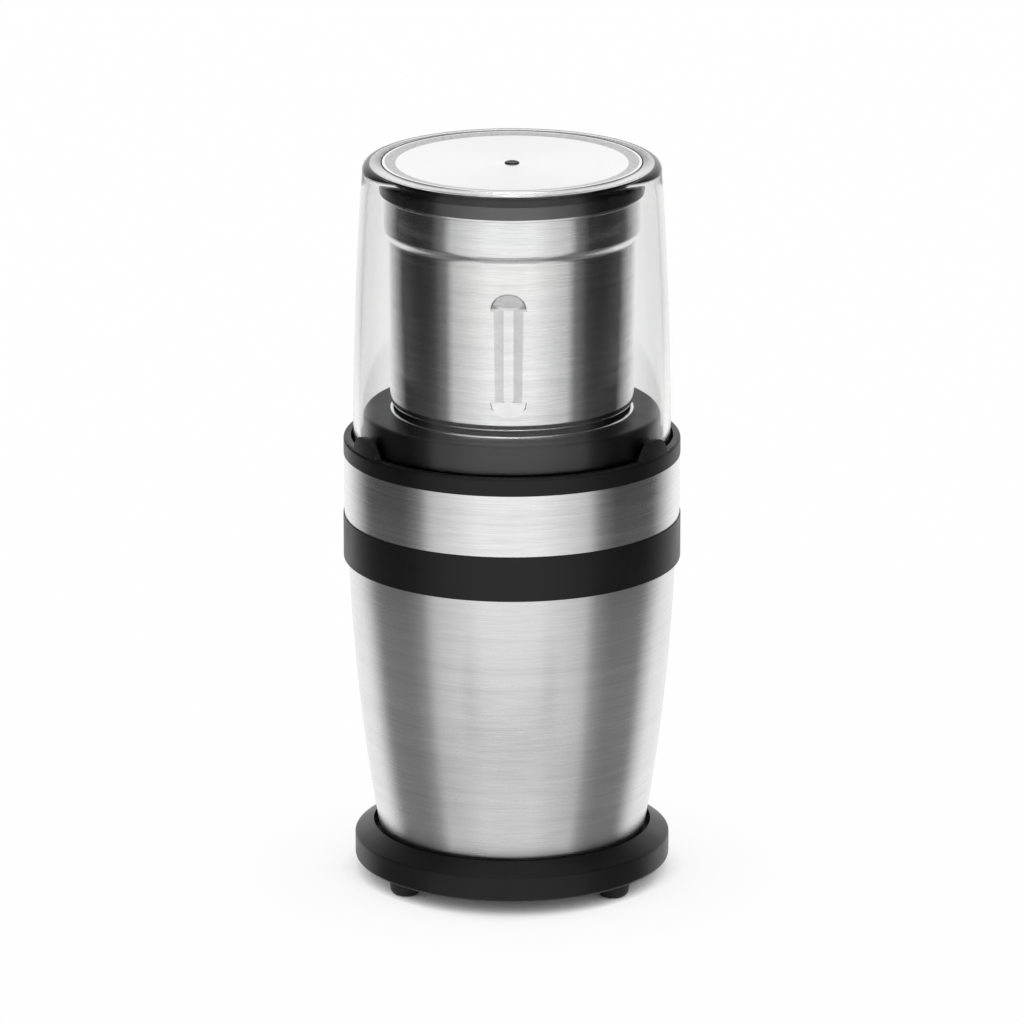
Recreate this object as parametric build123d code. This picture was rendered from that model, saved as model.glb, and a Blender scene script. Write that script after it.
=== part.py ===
"""Wet and dry grinder: motor base, lift-out steel cup with blade, and a clear press-to-run lid.

Millimetres, +Z up, origin on the table under the middle, front towards -Y.
"""
import os
from math import cos, radians, sin, sqrt, tan

from build123d import *

# Heights of the stack, from the table up
FOOT_HEIGHT = 4.8
BASE_SIDE = 7.9
BASE_CONE_RISE = 3.9
BAND_HEIGHT = 14.6
SLEEVE_HEIGHT = 19.8
COLLAR_HEIGHT = 5.7
HUB_RISE = 9.0
CUP_STANDOFF = 1.0
CUP_HEIGHT = 70.4
SEAL_HEIGHT = 4.2
CAP_HEIGHT = 4.1
TOP_PLATE_T = 0.6

# Travel of the lid when it is pressed to run the motor
PRESS_TRAVEL = 2.0

# Outer radii and curves of the visible body
BAND_R = 54.0
SLEEVE_INSET = 0.35
COLLAR_INSET = 0.15
SHELL_INSET = 1.6
BASE_CONE_RUN = 6.0
BASE_EDGE = 1.0
MOAT_GAP = 2.5
SHELL_BULGE = 1.85
STEEL_T = 0.6

# Clear lid with its cap, plate and seal
LID_INSET = 3.25
LID_LEAN = 3.25
LID_BULGE = 0.75
LID_CORNER_R = 2.7
LID_WALL = 2.2
LID_ENTRY = 2.5
LID_TOP_T = 1.2
DISH_RIM = 0.9
DISH_DEPTH = 0.6
DISH_SLOPE = 4.5
CAP_GAP = 3.0
CAP_LIP = 0.9
CAP_WEB = 2.2
CAP_STEP = 0.5
STUD_HEAD_R = 2.35
STUD_SHANK_R = 1.6
STUD_HEAD_T = 0.4
SEAL_PLUG_T = 1.8
SEAL_PLUG_DROP = 3.0

# Steel cup with three pressed flutes
CUP_T = 0.8
CUP_INSET = 4.6
CUP_STEP = 1.5
CUP_DRAFT = 0.35
CUP_CORNER_R = 3.8
CUP_SHOULDER_H = 5.3
CUP_COLLAR_H = 10.7
CUP_FLARE = 0.35
CUP_CREASE_RISE = 1.9
CUP_CREASE_H = 0.6
CUP_BEAD = 0.5
CUP_BEAD_H = 1.0
FLUTE_COUNT = 3
FLUTE_FLOOR_W = 3.0
FLUTE_SLOPE = 22.0
FLUTE_DEPTH = 1.55
FLUTE_FOOT = 5.4
FLUTE_HEAD = 8.5

# Plastic foot of the cup and the blade drive
CUP_BASE_INSET = 1.85
CUP_BASE_WALL = 2.2
CUP_RIB_COUNT = 6
CUP_RIB_T = 1.8
BOSS_R = 7.2
BOSS_RISE = 4.5
BUSH_R = 4.6
BUSH_LENGTH = 5.0
BLADE_SHAFT_R = 3.0
SHAFT_FLANGE_R = 5.0
SHAFT_FLANGE_T = 1.4
BLADE_GAP = 7.85
BLADE_W = 12.0
BLADE_T = 1.6
BLADE_FLAT = 12.0
BLADE_LIFT = 17.0
BLADE_BEVEL = 3.2
BLADE_TAIL = 25.0
BLADE_EYE_R = 7.2
NUT_R = 5.2
NUT_H = 4.0
NUT_DOME_H = 1.8
NUT_DOME_R = 4.2
NUT_DOME_EDGE = 1.4
COUPLING_R = 12.5
COUPLING_ROOF = 2.2
COUPLING_LOBES = 6
LOBE_CIRCLE_R = 6.4
LOBE_R = 2.0
STAR_R = 6.2
STAR_H = 3.8
DRIVE_FLANGE_R = 10.0
DRIVE_FLANGE_H = 4.2

# Collar and cup seat
RING_EDGE = 1.1
HUB_CLEAR = 1.15
HUB_WALL = 2.2
RECESS_DEPTH = 8.7
WELL_R = 15.0
WELL_DEPTH = 4.5
SKIRT_T = 1.8
SKIRT_DEPTH = 7.0
SEAT_RING_T = 1.3
SEAT_RING_H = 2.6
SEAT_RING_PROUD = 0.7
SEAT_RING_EDGE = 0.45
LUG_COUNT = 3
LUG_AZIMUTH = 60.0
LUG_WIDTH = 15.0
LUG_HEIGHT = 5.6
LUG_INSET = 0.25
POST_COUNT = 4
POST_R = 4.0
POST_INSET = 4.65
SCREW_R = 1.5
SCREW_HEAD_R = 2.9
SCREW_HEAD_H = 1.8
SCREW_CROSS_W = 0.7
SCREW_CROSS_L = 3.4
SCREW_CROSS_DEPTH = 1.0
SCREW_GRIP = 9.0
SHAFT_SEAL_R = 6.0
SHAFT_SEAL_H = 2.6

# Base disc, feet and cord gland
MOAT_DEPTH = 5.0
FLOOR_T = 3.2
UPSTAND_T = 2.2
UPSTAND_DROP = 1.0
FOOT_R = 5.5
FOOT_TAPER = 0.8
FOOT_EDGE = 2.2
FOOT_MARGIN = 1.3
FOOT_AZIMUTH = 49.0
FOOT_STEM_R = 2.5
FOOT_STEM_H = 3.0
VENT_COUNT = 16
VENT_W = 2.6
VENT_INNER_R = 9.0
VENT_MARGIN = 9.0
GLAND_SKIN = 0.3
GLAND_WALL = 0.6
BOSS_INSET = 6.0
BASE_SCREW_AZIMUTH = 45.0

# Inner housing that carries the motor
HOUSING_WALL = 2.2
HOUSING_INSET = 3.4
DECK_T = 3.0
DECK_DROP = 5.2
DECK_HOLE_R = 13.0
FLANGE_INSET = 1.4
FLANGE_T = 3.0
BAND_WEB_T = 2.5
BAND_LIP_T = 1.6
BAND_LIP_H = 4.0
BOSS_H = 12.0

# Motor
STACK_CORNER_R = 9.0
STACK_H = 28.0
STATOR_YOKE = 6.0
POLE_W = 22.0
POLE_SHOE_T = 2.5
POLE_SPAN = 110.0
ARMATURE_R = 15.5
AIR_GAP = 0.5
COIL_W = 6.5
COIL_GAP = 6.3
COIL_ROOM = 1.5
COIL_OVERHANG = 8.0
SLOT_COUNT = 12
SLOT_W = 2.2
SLOT_DEPTH = 6.0
WINDING_INSET = 2.3
WINDING_INNER_R = 5.0
WINDING_H = 7.0
COMMUTATOR_R = 9.0
COMMUTATOR_H = 14.0
COMMUTATOR_SLIT = 0.6
MOTOR_SHAFT_R = 3.0
BEARING_R = 7.0
BEARING_H = 8.0
BEARING_BOSS_R = 10.0
BRACKET_T = 4.0
BRACKET_ARM_W = 9.0
BOLT_R = 1.9
BOLT_INSET = 5.5
BOLT_HEAD_R = 3.4
BOLT_HEAD_H = 2.6
MOUNT_R = 5.5
MOUNT_T = 3.5
BRUSH_W = 6.0
BRUSH_L = 13.0
BRUSH_BOX_WALL = 2.0
LOWER_BRACKET_GAP = 7.0
FAN_R = 24.0
FAN_HUB_R = 6.0
FAN_DISC_T = 1.6
FAN_BLADE_H = 7.5
FAN_BLADE_T = 1.4
FAN_BLADE_COUNT = 9
FAN_GAP = 2.0
SHAFT_TAIL = 2.0
FLOOR_GAP = 10.8

# Press switch under the lid rim
SWITCH_AZIMUTH = 180.0
SWITCH_REACH = 7.65
SWITCH_L = 20.0
SWITCH_W = 6.4
SWITCH_H = 9.5
PIN_R = 1.6
GUIDE_R = 2.7
ARM_T = 2.8
ARM_W = 5.0
STEM_R = 1.2
PLUNGER_R = 1.0
PLUNGER_RISE = 2.2
SPRING_R = 2.3
SPRING_WIRE_R = 0.3
SPRING_TURNS = 4

# Clearances
FIT = 0.05
LOCATE = 0.2
CLEAR = 0.3
LID_CLEAR = 0.75
CUP_CLEAR = 0.65
STOP_CLEAR = 1.0
MOTOR_CLEAR = 0.355
SCREW_CLEAR = 0.2

# Levels of the base
Z_BASE = FOOT_HEIGHT
Z_SHOULDER = Z_BASE + BASE_SIDE
Z_LIP = Z_SHOULDER + BASE_CONE_RISE
Z_MOAT = Z_LIP - MOAT_DEPTH
Z_FLOOR = Z_BASE + FLOOR_T
Z_UPSTAND = Z_LIP - UPSTAND_DROP

# Levels of the motor, from the floor up to the deck that it hangs from
Z_SHAFT_FOOT = Z_FLOOR + FLOOR_GAP
Z_FAN = Z_SHAFT_FOOT + SHAFT_TAIL
Z_FAN_TOP = Z_FAN + FAN_BLADE_H + FAN_DISC_T
Z_LOWER_BRACKET = Z_FAN_TOP + FAN_GAP + BOLT_HEAD_H
Z_LOWER_BRACKET_TOP = Z_LOWER_BRACKET + BRACKET_T
Z_COMMUTATOR = Z_LOWER_BRACKET_TOP + LOWER_BRACKET_GAP
Z_COMMUTATOR_TOP = Z_COMMUTATOR + COMMUTATOR_H
Z_STACK = Z_COMMUTATOR_TOP + STOP_CLEAR + WINDING_H
Z_STACK_TOP = Z_STACK + STACK_H
Z_BRACKET = Z_STACK_TOP + STOP_CLEAR + COIL_OVERHANG
Z_DECK_UNDER = Z_BRACKET + BRACKET_T + MOUNT_T
Z_DECK = Z_DECK_UNDER + DECK_T

# Levels above the deck
Z_SLEEVE = Z_DECK + DECK_DROP
Z_BAND = Z_SLEEVE - BAND_HEIGHT
Z_COLLAR = Z_SLEEVE + SLEEVE_HEIGHT
Z_RING = Z_COLLAR + COLLAR_HEIGHT
Z_HUB = Z_RING + HUB_RISE
Z_SEAT = Z_HUB - RECESS_DEPTH
Z_WELL = Z_SEAT - WELL_DEPTH
Z_CUP = Z_HUB + CUP_STANDOFF
Z_CUP_RIM = Z_CUP + CUP_HEIGHT
Z_CUP_BOSS = Z_CUP + CUP_T + BOSS_RISE
Z_CAP = Z_CUP_RIM + SEAL_HEIGHT
Z_PLATE = Z_CAP + CAP_HEIGHT
Z_TOP = Z_PLATE + TOP_PLATE_T
Z_LIP_UNDER = Z_TOP - LID_TOP_T
Z_LID_RIM = Z_RING - LID_ENTRY
Z_GROOVE = Z_LID_RIM - PRESS_TRAVEL - STOP_CLEAR

# Radii of the body and lid, inwards from the band
SLEEVE_R = BAND_R - SLEEVE_INSET
COLLAR_R = BAND_R - COLLAR_INSET
SHELL_TOP_R = BAND_R - SHELL_INSET
SLEEVE_IN_R = SLEEVE_R - STEEL_T
HOUSING_TOP_R = SHELL_TOP_R - HOUSING_INSET
FLANGE_R = SHELL_TOP_R - FLANGE_INSET
LID_RIM_R = BAND_R - LID_INSET
LID_SHOULDER_R = LID_RIM_R - LID_LEAN
GROOVE_R = LID_RIM_R + LID_CLEAR
HUB_R = LID_RIM_R - LID_WALL - HUB_CLEAR
CAP_BORE_R = LID_SHOULDER_R - LID_WALL
CAP_R = CAP_BORE_R - CAP_GAP
LIP_R = CAP_R - CAP_LIP
PLATE_R = LIP_R - LOCATE
DISH_R = PLATE_R - DISH_RIM - DISH_SLOPE
CAP_POCKET_R = DISH_R - CAP_STEP

# Radii of the cup and what carries it, inwards from the lid
CUP_TOP_R = CAP_BORE_R - CUP_INSET
CUP_WAIST_R = CUP_TOP_R - CUP_STEP
CUP_FOOT_R = CUP_WAIST_R - CUP_DRAFT
CUP_BASE_R = CUP_FOOT_R - CUP_BASE_INSET
BLADE_R = CUP_FOOT_R - BLADE_GAP
RECESS_R = CUP_BASE_R + CUP_CLEAR
POST_CIRCLE_R = RECESS_R - POST_INSET
PIN_CIRCLE_R = LID_RIM_R - LID_WALL / 2
SWITCH_CIRCLE_R = PIN_CIRCLE_R - SWITCH_REACH

# Motor and base, outwards from the armature
BORE_R = ARMATURE_R + AIR_GAP
WINDING_R = ARMATURE_R - WINDING_INSET
STACK_X = POLE_W + 2 * (LOCATE + COIL_W + COIL_GAP + STATOR_YOKE)
STACK_Y = 2 * (BORE_R + POLE_SHOE_T + COIL_ROOM + STATOR_YOKE)
BOLT_X = STACK_X / 2 - BOLT_INSET
BOLT_Y = STACK_Y / 2 - BOLT_INSET
BOLT_CIRCLE_R = sqrt(BOLT_X ** 2 + BOLT_Y ** 2)
HOUSING_FOOT_R = BOLT_CIRCLE_R + BRACKET_ARM_W / 2 + MOTOR_CLEAR + HOUSING_WALL
UPSTAND_R = HOUSING_FOOT_R + LOCATE + UPSTAND_T
SHELL_BOTTOM_R = UPSTAND_R + CLEAR + STEEL_T
BASE_LIP_R = SHELL_BOTTOM_R + MOAT_GAP
BASE_R = BASE_LIP_R + BASE_CONE_RUN
FOOT_CIRCLE_R = BASE_R - FOOT_R - FOOT_MARGIN
BASE_SCREW_CIRCLE_R = HOUSING_FOOT_R - BOSS_INSET
VENT_OUTER_R = BASE_SCREW_CIRCLE_R - VENT_MARGIN
GLAND_R = (Z_MOAT - Z_BASE) / 2 - GLAND_SKIN
CORD_HOLE_R = GLAND_R - GLAND_WALL

# Drive levels, from the seat of the cup
Z_DRIVE_FLANGE = Z_WELL + STOP_CLEAR
Z_STAR = Z_DRIVE_FLANGE + DRIVE_FLANGE_H
Z_STAR_TOP = Z_STAR + STAR_H
Z_SOCKET = Z_STAR + CLEAR
Z_SOCKET_ROOF = Z_STAR_TOP + CLEAR
Z_COUPLING_TOP = Z_SOCKET_ROOF + COUPLING_ROOF
Z_CUP_WELL = Z_COUPLING_TOP + CLEAR

# Switch levels, from the deck up to the lid rim
Z_SWITCH_TOP = Z_DECK + SWITCH_H
Z_PLUNGER_TOP = Z_SWITCH_TOP + PLUNGER_RISE
Z_ARM = Z_PLUNGER_TOP + PRESS_TRAVEL
Z_ARM_TOP = Z_ARM + ARM_T
Z_PIN_TOP = Z_LID_RIM - CLEAR
Z_GUIDE = Z_ARM_TOP + CLEAR

# How boxes sit on their reference point
UPRIGHT = (Align.CENTER, Align.CENTER, Align.MIN)
OUTWARD = (Align.MIN, Align.CENTER, Align.CENTER)


def turned(*lines):
    """Solid of revolution about Z from lines drawn as (radius, height)."""
    edges = []
    for line in lines:
        edges += (Plane.XZ * line).edges()
    return revolve(make_face(edges), Axis.Z)


def turned_points(*points):
    return turned(Polyline(*points, close=True))


def tube(outer_r, inner_r, bottom, top):
    return Pos(0, 0, bottom) * extrude(Circle(outer_r) - Circle(inner_r), top - bottom)


def rod(radius, bottom, top):
    return Pos(0, 0, bottom) * extrude(Circle(radius), top - bottom)


def placed(azimuth, radius, shape):
    """Shape moved out from the axis, with azimuth 0 at the front."""
    return Rot(0, 0, azimuth) * Pos(0, -radius, 0) * shape


def around(count, radius, shape, start=0.0):
    return [placed(start + 360.0 * i / count, radius, shape) for i in range(count)]


def rims(part, radius, height):
    """Round edges of a turned part at one radius and height."""
    near = 1e-3
    found = []
    for edge in part.edges().filter_by(GeomType.CIRCLE):
        if abs(edge.radius - radius) < near and abs(edge.center().Z - height) < near:
            found.append(edge)
    return found


def bowed(foot, head, bulge):
    """Arc between two outline points, bowed outwards at half height."""
    middle = ((foot[0] + head[0]) / 2 + bulge, (foot[1] + head[1]) / 2)
    return ThreePointArc(foot, middle, head)


# Lid

def clear_lid():
    z_shoulder = Z_TOP - LID_CORNER_R
    corner_r = LID_SHOULDER_R - LID_CORNER_R
    foot = (LID_RIM_R, Z_LID_RIM)
    shoulder = (LID_SHOULDER_R, z_shoulder)
    inner_foot = (LID_RIM_R - LID_WALL, Z_LID_RIM)
    inner_head = (CAP_BORE_R, Z_CAP)
    return turned(
        bowed(foot, shoulder, LID_BULGE),
        CenterArc((corner_r, z_shoulder), LID_CORNER_R, 0, 90),
        Polyline(
            (corner_r, Z_TOP), (LIP_R, Z_TOP), (LIP_R, Z_LIP_UNDER), (CAP_BORE_R, Z_LIP_UNDER), inner_head,
        ),
        bowed(inner_foot, inner_head, LID_BULGE),
        Line(inner_foot, foot),
    )


def lid_cap():
    z_dish = Z_PLATE - DISH_DEPTH
    z_shoulder = Z_LIP_UNDER - FIT
    cap = turned_points(
        (0, z_dish - CAP_WEB),
        (CAP_POCKET_R, z_dish - CAP_WEB),
        (CAP_POCKET_R, Z_CAP),
        (CAP_R, Z_CAP),
        (CAP_R, z_shoulder),
        (PLATE_R, z_shoulder),
        (PLATE_R, Z_PLATE),
        (DISH_R + DISH_SLOPE, Z_PLATE),
        (DISH_R, z_dish),
        (0, z_dish),
    )
    return cap - rod(STUD_SHANK_R, Z_CAP, Z_PLATE)


def lid_top_plate():
    z_dish = Z_PLATE - DISH_DEPTH
    hole_r = STUD_SHANK_R + FIT
    return turned_points(
        (hole_r, z_dish),
        (DISH_R, z_dish),
        (DISH_R + DISH_SLOPE, Z_PLATE),
        (PLATE_R, Z_PLATE),
        (PLATE_R, Z_TOP),
        (DISH_R + DISH_SLOPE, Z_TOP),
        (DISH_R, z_dish + TOP_PLATE_T),
        (hole_r, z_dish + TOP_PLATE_T),
    )


def lid_centre_stud():
    z_head = Z_PLATE - DISH_DEPTH + TOP_PLATE_T
    z_foot = Z_PLATE - DISH_DEPTH - CAP_WEB
    head = rod(STUD_HEAD_R, z_head, z_head + STUD_HEAD_T)
    head = fillet(rims(head, STUD_HEAD_R, z_head + STUD_HEAD_T), STUD_HEAD_T / 2)
    return head + rod(STUD_SHANK_R, z_foot, z_head)


def lid_seal():
    bore_r = CUP_TOP_R - CUP_T - STOP_CLEAR - SEAL_PLUG_T
    plug_r = bore_r + SEAL_PLUG_T
    return turned_points(
        (bore_r, Z_CUP_RIM - SEAL_PLUG_DROP),
        (bore_r + SEAL_PLUG_T / 2, Z_CUP_RIM - SEAL_PLUG_DROP),
        (plug_r, Z_CUP_RIM - SEAL_PLUG_DROP / 2),
        (plug_r, Z_CUP_RIM),
        (CAP_R, Z_CUP_RIM),
        (CAP_R, Z_CAP),
        (bore_r, Z_CAP),
    )


# Cup and blade

def cup_outline(inset):
    """Outline of the cup to its rim, set in from the outer skin."""
    foot_r = CUP_FOOT_R - CUP_CORNER_R
    z_corner = Z_CUP + CUP_CORNER_R
    z_collar = Z_CUP_RIM - CUP_COLLAR_H
    z_waist = z_collar - CUP_SHOULDER_H
    z_crease = z_waist + CUP_CREASE_RISE
    return [
        Line((0, Z_CUP + inset), (foot_r, Z_CUP + inset)),
        CenterArc((foot_r, z_corner), CUP_CORNER_R - inset, -90, 90),
        Polyline(
            (CUP_FOOT_R - inset, z_corner),
            (CUP_WAIST_R - inset, z_waist),
            (CUP_WAIST_R + CUP_FLARE - inset, z_crease),
            (CUP_TOP_R - CUP_FLARE - inset, z_crease + CUP_CREASE_H),
            (CUP_TOP_R - inset, z_collar),
            (CUP_TOP_R - inset, Z_CUP_RIM),
            (0, Z_CUP_RIM),
            (0, Z_CUP + inset),
        ),
    ]


def flutes(inset):
    """Troughs with a flat floor, sloping sides and round ends, pressed into the cup wall."""
    wall_r = (CUP_FOOT_R + CUP_WAIST_R) / 2 - inset
    side_run = FLUTE_DEPTH / tan(radians(FLUTE_SLOPE))
    end_run = FLUTE_FLOOR_W / 2 + side_run
    z_low = Z_CUP + FLUTE_FOOT + end_run
    z_high = Z_CUP_RIM - CUP_COLLAR_H - CUP_SHOULDER_H - FLUTE_HEAD - end_run
    z_middle = (z_low + z_high) / 2

    def slot(distance, width):
        plane = Plane.XZ.offset(distance) * Pos(0, z_middle, 0)
        return (plane * SlotCenterToCenter(z_high - z_low, width, rotation=90)).face()

    floor = slot(wall_r - FLUTE_DEPTH, FLUTE_FLOOR_W)
    mouth = slot(wall_r + FLUTE_DEPTH, FLUTE_FLOOR_W + 4 * side_run)
    return around(FLUTE_COUNT, 0, loft([floor, mouth], ruled=True))


def cup_shell():
    bead = tube(CUP_TOP_R + CUP_BEAD, CUP_TOP_R - CUP_T, Z_CUP_RIM - CUP_BEAD_H, Z_CUP_RIM)
    bead = fillet(rims(bead, CUP_TOP_R + CUP_BEAD, Z_CUP_RIM), CUP_BEAD_H / 3)
    skin = turned(*cup_outline(0)) - flutes(0)
    space = turned(*cup_outline(CUP_T)) - flutes(CUP_T)
    return skin - space - rod(BOSS_R + FIT, Z_CUP, Z_CUP_RIM) + bead


def cup_base():
    disc = rod(CUP_BASE_R, Z_SEAT, Z_CUP) + rod(BOSS_R, Z_CUP, Z_CUP_BOSS)
    disc = fillet(rims(disc, BOSS_R, Z_CUP_BOSS), CUP_BASE_WALL / 3)
    well_r = COUPLING_R + STOP_CLEAR
    pocket_in = well_r + CUP_BASE_WALL
    pocket_out = CUP_BASE_R - CUP_BASE_WALL
    disc -= tube(pocket_out, pocket_in, Z_SEAT, Z_CUP - CUP_BASE_WALL)
    rib_l = pocket_out - pocket_in + CUP_BASE_WALL
    rib_h = Z_CUP - CUP_BASE_WALL / 2 - Z_SEAT
    rib = Pos(0, 0, Z_SEAT) * Box(CUP_RIB_T, rib_l, rib_h, align=UPRIGHT)
    disc += around(CUP_RIB_COUNT, (pocket_in + pocket_out) / 2, rib)
    disc -= rod(well_r, Z_SEAT, Z_CUP_WELL)
    return disc - rod(BUSH_R, Z_SEAT, Z_CUP_BOSS)


def blade_bush():
    return tube(BUSH_R - FIT, BLADE_SHAFT_R + FIT, Z_CUP_WELL, Z_CUP_WELL + BUSH_LENGTH)


def blade_lip_seal():
    return tube(BUSH_R - FIT, BLADE_SHAFT_R + FIT, Z_CUP_WELL + BUSH_LENGTH, Z_CUP_BOSS)


def blade_shaft():
    z_flange = Z_CUP_BOSS + CLEAR
    z_blade = z_flange + SHAFT_FLANGE_T
    spindle = rod(BLADE_SHAFT_R, Z_SOCKET_ROOF, z_blade + BLADE_T + NUT_H)
    return spindle + rod(SHAFT_FLANGE_R, z_flange, z_blade)


def blade():
    z_blade = Z_CUP_BOSS + CLEAR + SHAFT_FLANGE_T
    half = BLADE_W / 2
    section = Polyline((-half, 0), (half, 0), (half, BLADE_T), (BLADE_BEVEL - half, BLADE_T), close=True)
    wing_l = (BLADE_R - BLADE_FLAT) / cos(radians(BLADE_LIFT))
    wing = extrude(make_face(Plane.YZ * section), wing_l)
    tail = Pos(wing_l, half, 0) * Rot(0, 0, BLADE_TAIL) * Box(BLADE_W, BLADE_W / 2, BLADE_W)
    wing = Pos(BLADE_FLAT, 0, 0) * Rot(0, -BLADE_LIFT, 0) * (wing - tail)
    plate = extrude(Rectangle(2 * BLADE_FLAT, BLADE_W) + Circle(BLADE_EYE_R), BLADE_T)
    bar = plate + wing + Rot(0, 0, 180) * wing
    return Pos(0, 0, z_blade) * (bar - rod(BLADE_SHAFT_R, -BLADE_T, 2 * BLADE_T))


def blade_cap_nut():
    z_nut = Z_CUP_BOSS + CLEAR + SHAFT_FLANGE_T + BLADE_T
    hexagon = extrude(RegularPolygon(NUT_R, 6), NUT_H)
    dome = Pos(0, 0, NUT_H) * extrude(Circle(NUT_DOME_R), NUT_DOME_H)
    dome = fillet(rims(dome, NUT_DOME_R, NUT_H + NUT_DOME_H), NUT_DOME_EDGE)
    return Pos(0, 0, z_nut) * (hexagon + dome - rod(BLADE_SHAFT_R, 0, NUT_H))


def star(grow):
    """Lobed outline shared by the two halves of the drive coupling."""
    lobes = PolarLocations(LOBE_CIRCLE_R, COUPLING_LOBES) * Circle(LOBE_R + grow)
    return Circle(STAR_R + grow) + lobes


def cup_coupling():
    body = rod(COUPLING_R, Z_SOCKET, Z_COUPLING_TOP)
    body = fillet(rims(body, COUPLING_R, Z_SOCKET), COUPLING_ROOF / 2)
    socket = Pos(0, 0, Z_SOCKET) * extrude(star(CLEAR), Z_SOCKET_ROOF - Z_SOCKET)
    return body - socket - rod(BLADE_SHAFT_R, Z_SOCKET_ROOF, Z_COUPLING_TOP)


def drive_coupling():
    flange = rod(DRIVE_FLANGE_R, Z_DRIVE_FLANGE, Z_STAR)
    flange = fillet(rims(flange, DRIVE_FLANGE_R, Z_STAR), DRIVE_FLANGE_H / 4)
    driver = Pos(0, 0, Z_STAR) * extrude(star(0), STAR_H)
    return flange + driver - rod(MOTOR_SHAFT_R, Z_DRIVE_FLANGE, Z_STAR)


# Collar and outer body

def top_collar():
    shelf = Z_HUB + SEAT_RING_PROUD - SEAT_RING_H
    ring_seat_r = RECESS_R + SEAT_RING_T
    z_seat_under = Z_SEAT - HUB_WALL
    z_well_under = Z_WELL - HUB_WALL
    z_groove_under = Z_GROOVE - HUB_WALL
    skirt_r = SLEEVE_IN_R - LOCATE
    collar = turned_points(
        (COLLAR_R, Z_COLLAR), (COLLAR_R, Z_RING), (GROOVE_R, Z_RING), (GROOVE_R, Z_GROOVE),
        (HUB_R, Z_GROOVE), (HUB_R, Z_HUB), (ring_seat_r, Z_HUB), (ring_seat_r, shelf), (RECESS_R, shelf),
        (RECESS_R, Z_SEAT), (WELL_R, Z_SEAT), (WELL_R, Z_WELL), (SHAFT_SEAL_R, Z_WELL),
        (SHAFT_SEAL_R, z_well_under), (WELL_R + HUB_WALL, z_well_under), (WELL_R + HUB_WALL, z_seat_under),
        (ring_seat_r + HUB_WALL, z_seat_under), (ring_seat_r + HUB_WALL, Z_HUB - HUB_WALL),
        (HUB_R - HUB_WALL, Z_HUB - HUB_WALL), (HUB_R - HUB_WALL, z_groove_under),
        (skirt_r - SKIRT_T, z_groove_under), (skirt_r - SKIRT_T, Z_COLLAR - SKIRT_DEPTH),
        (skirt_r, Z_COLLAR - SKIRT_DEPTH), (skirt_r, Z_COLLAR),
    )
    collar = fillet(rims(collar, COLLAR_R, Z_RING), RING_EDGE)
    collar = fillet(rims(collar, HUB_R, Z_HUB), HUB_WALL / 2)
    post = rod(POST_R, Z_DECK, z_seat_under) - rod(SCREW_R, Z_DECK, Z_DECK + SCREW_GRIP)
    guide = rod(GUIDE_R, Z_GUIDE, Z_GROOVE)
    collar += around(POST_COUNT, POST_CIRCLE_R, post)
    collar += placed(SWITCH_AZIMUTH, PIN_CIRCLE_R, guide)
    collar -= placed(SWITCH_AZIMUTH, PIN_CIRCLE_R, rod(PIN_R + CLEAR, Z_GUIDE, Z_GROOVE))
    return collar + lugs()


def lugs():
    """Half-round guides that stand on the ring outside the lid wall."""
    lug_r = (LUG_WIDTH ** 2 / 4 + LUG_HEIGHT ** 2) / (2 * LUG_HEIGHT)
    disc = Pos(0, 0, Z_RING + LUG_HEIGHT - lug_r) * Rot(90, 0, 0) * Cylinder(lug_r, 2 * COLLAR_R)
    back_r = GROOVE_R + LOCATE
    band = tube(COLLAR_R - LUG_INSET, back_r, Z_RING - RING_EDGE, Z_RING + 2 * LUG_HEIGHT)
    front = Pos(0, -COLLAR_R, Z_RING) * Box(2 * LUG_WIDTH, COLLAR_R, 6 * LUG_HEIGHT)
    lug = disc & band & front
    return [Rot(0, 0, LUG_AZIMUTH + 360.0 * i / LUG_COUNT) * lug for i in range(LUG_COUNT)]


def seat_ring():
    top = Z_HUB + SEAT_RING_PROUD
    ring = tube(RECESS_R + SEAT_RING_T - FIT, RECESS_R, top - SEAT_RING_H, top)
    edges = rims(ring, RECESS_R, top) + rims(ring, RECESS_R + SEAT_RING_T - FIT, top)
    return fillet(edges, SEAT_RING_EDGE)


def shaft_seal():
    return tube(SHAFT_SEAL_R - FIT, MOTOR_SHAFT_R + CLEAR, Z_WELL - SHAFT_SEAL_H, Z_WELL)


def upper_sleeve():
    return tube(SLEEVE_R, SLEEVE_IN_R, Z_SLEEVE, Z_COLLAR)


def mid_band():
    lip_r = SLEEVE_IN_R - LOCATE
    inner_r = lip_r - BAND_LIP_T
    web_r = HOUSING_TOP_R + LOCATE
    skirt_r = SHELL_TOP_R + CLEAR
    band = turned_points(
        (BAND_R, Z_BAND), (BAND_R, Z_SLEEVE), (lip_r, Z_SLEEVE), (lip_r, Z_SLEEVE + BAND_LIP_H),
        (inner_r, Z_SLEEVE + BAND_LIP_H), (inner_r, Z_DECK_UNDER + BAND_WEB_T),
        (web_r, Z_DECK_UNDER + BAND_WEB_T), (web_r, Z_DECK_UNDER), (skirt_r, Z_DECK_UNDER),
        (skirt_r, Z_BAND),
    )
    edges = rims(band, BAND_R, Z_BAND) + rims(band, BAND_R, Z_SLEEVE)
    return fillet(edges, SLEEVE_INSET)


def shell_head():
    """Level of the hidden top edge of the lower shell, under the band."""
    return Z_DECK_UNDER - FLANGE_T - LOCATE


def lower_shell():
    foot = (SHELL_BOTTOM_R, Z_MOAT)
    head = (SHELL_TOP_R, shell_head())
    inner_foot = (SHELL_BOTTOM_R - STEEL_T, Z_MOAT)
    inner_head = (SHELL_TOP_R - STEEL_T, shell_head())
    return turned(
        bowed(foot, head, SHELL_BULGE),
        Line(head, inner_head),
        bowed(inner_foot, inner_head, SHELL_BULGE),
        Line(inner_foot, foot),
    )


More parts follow.
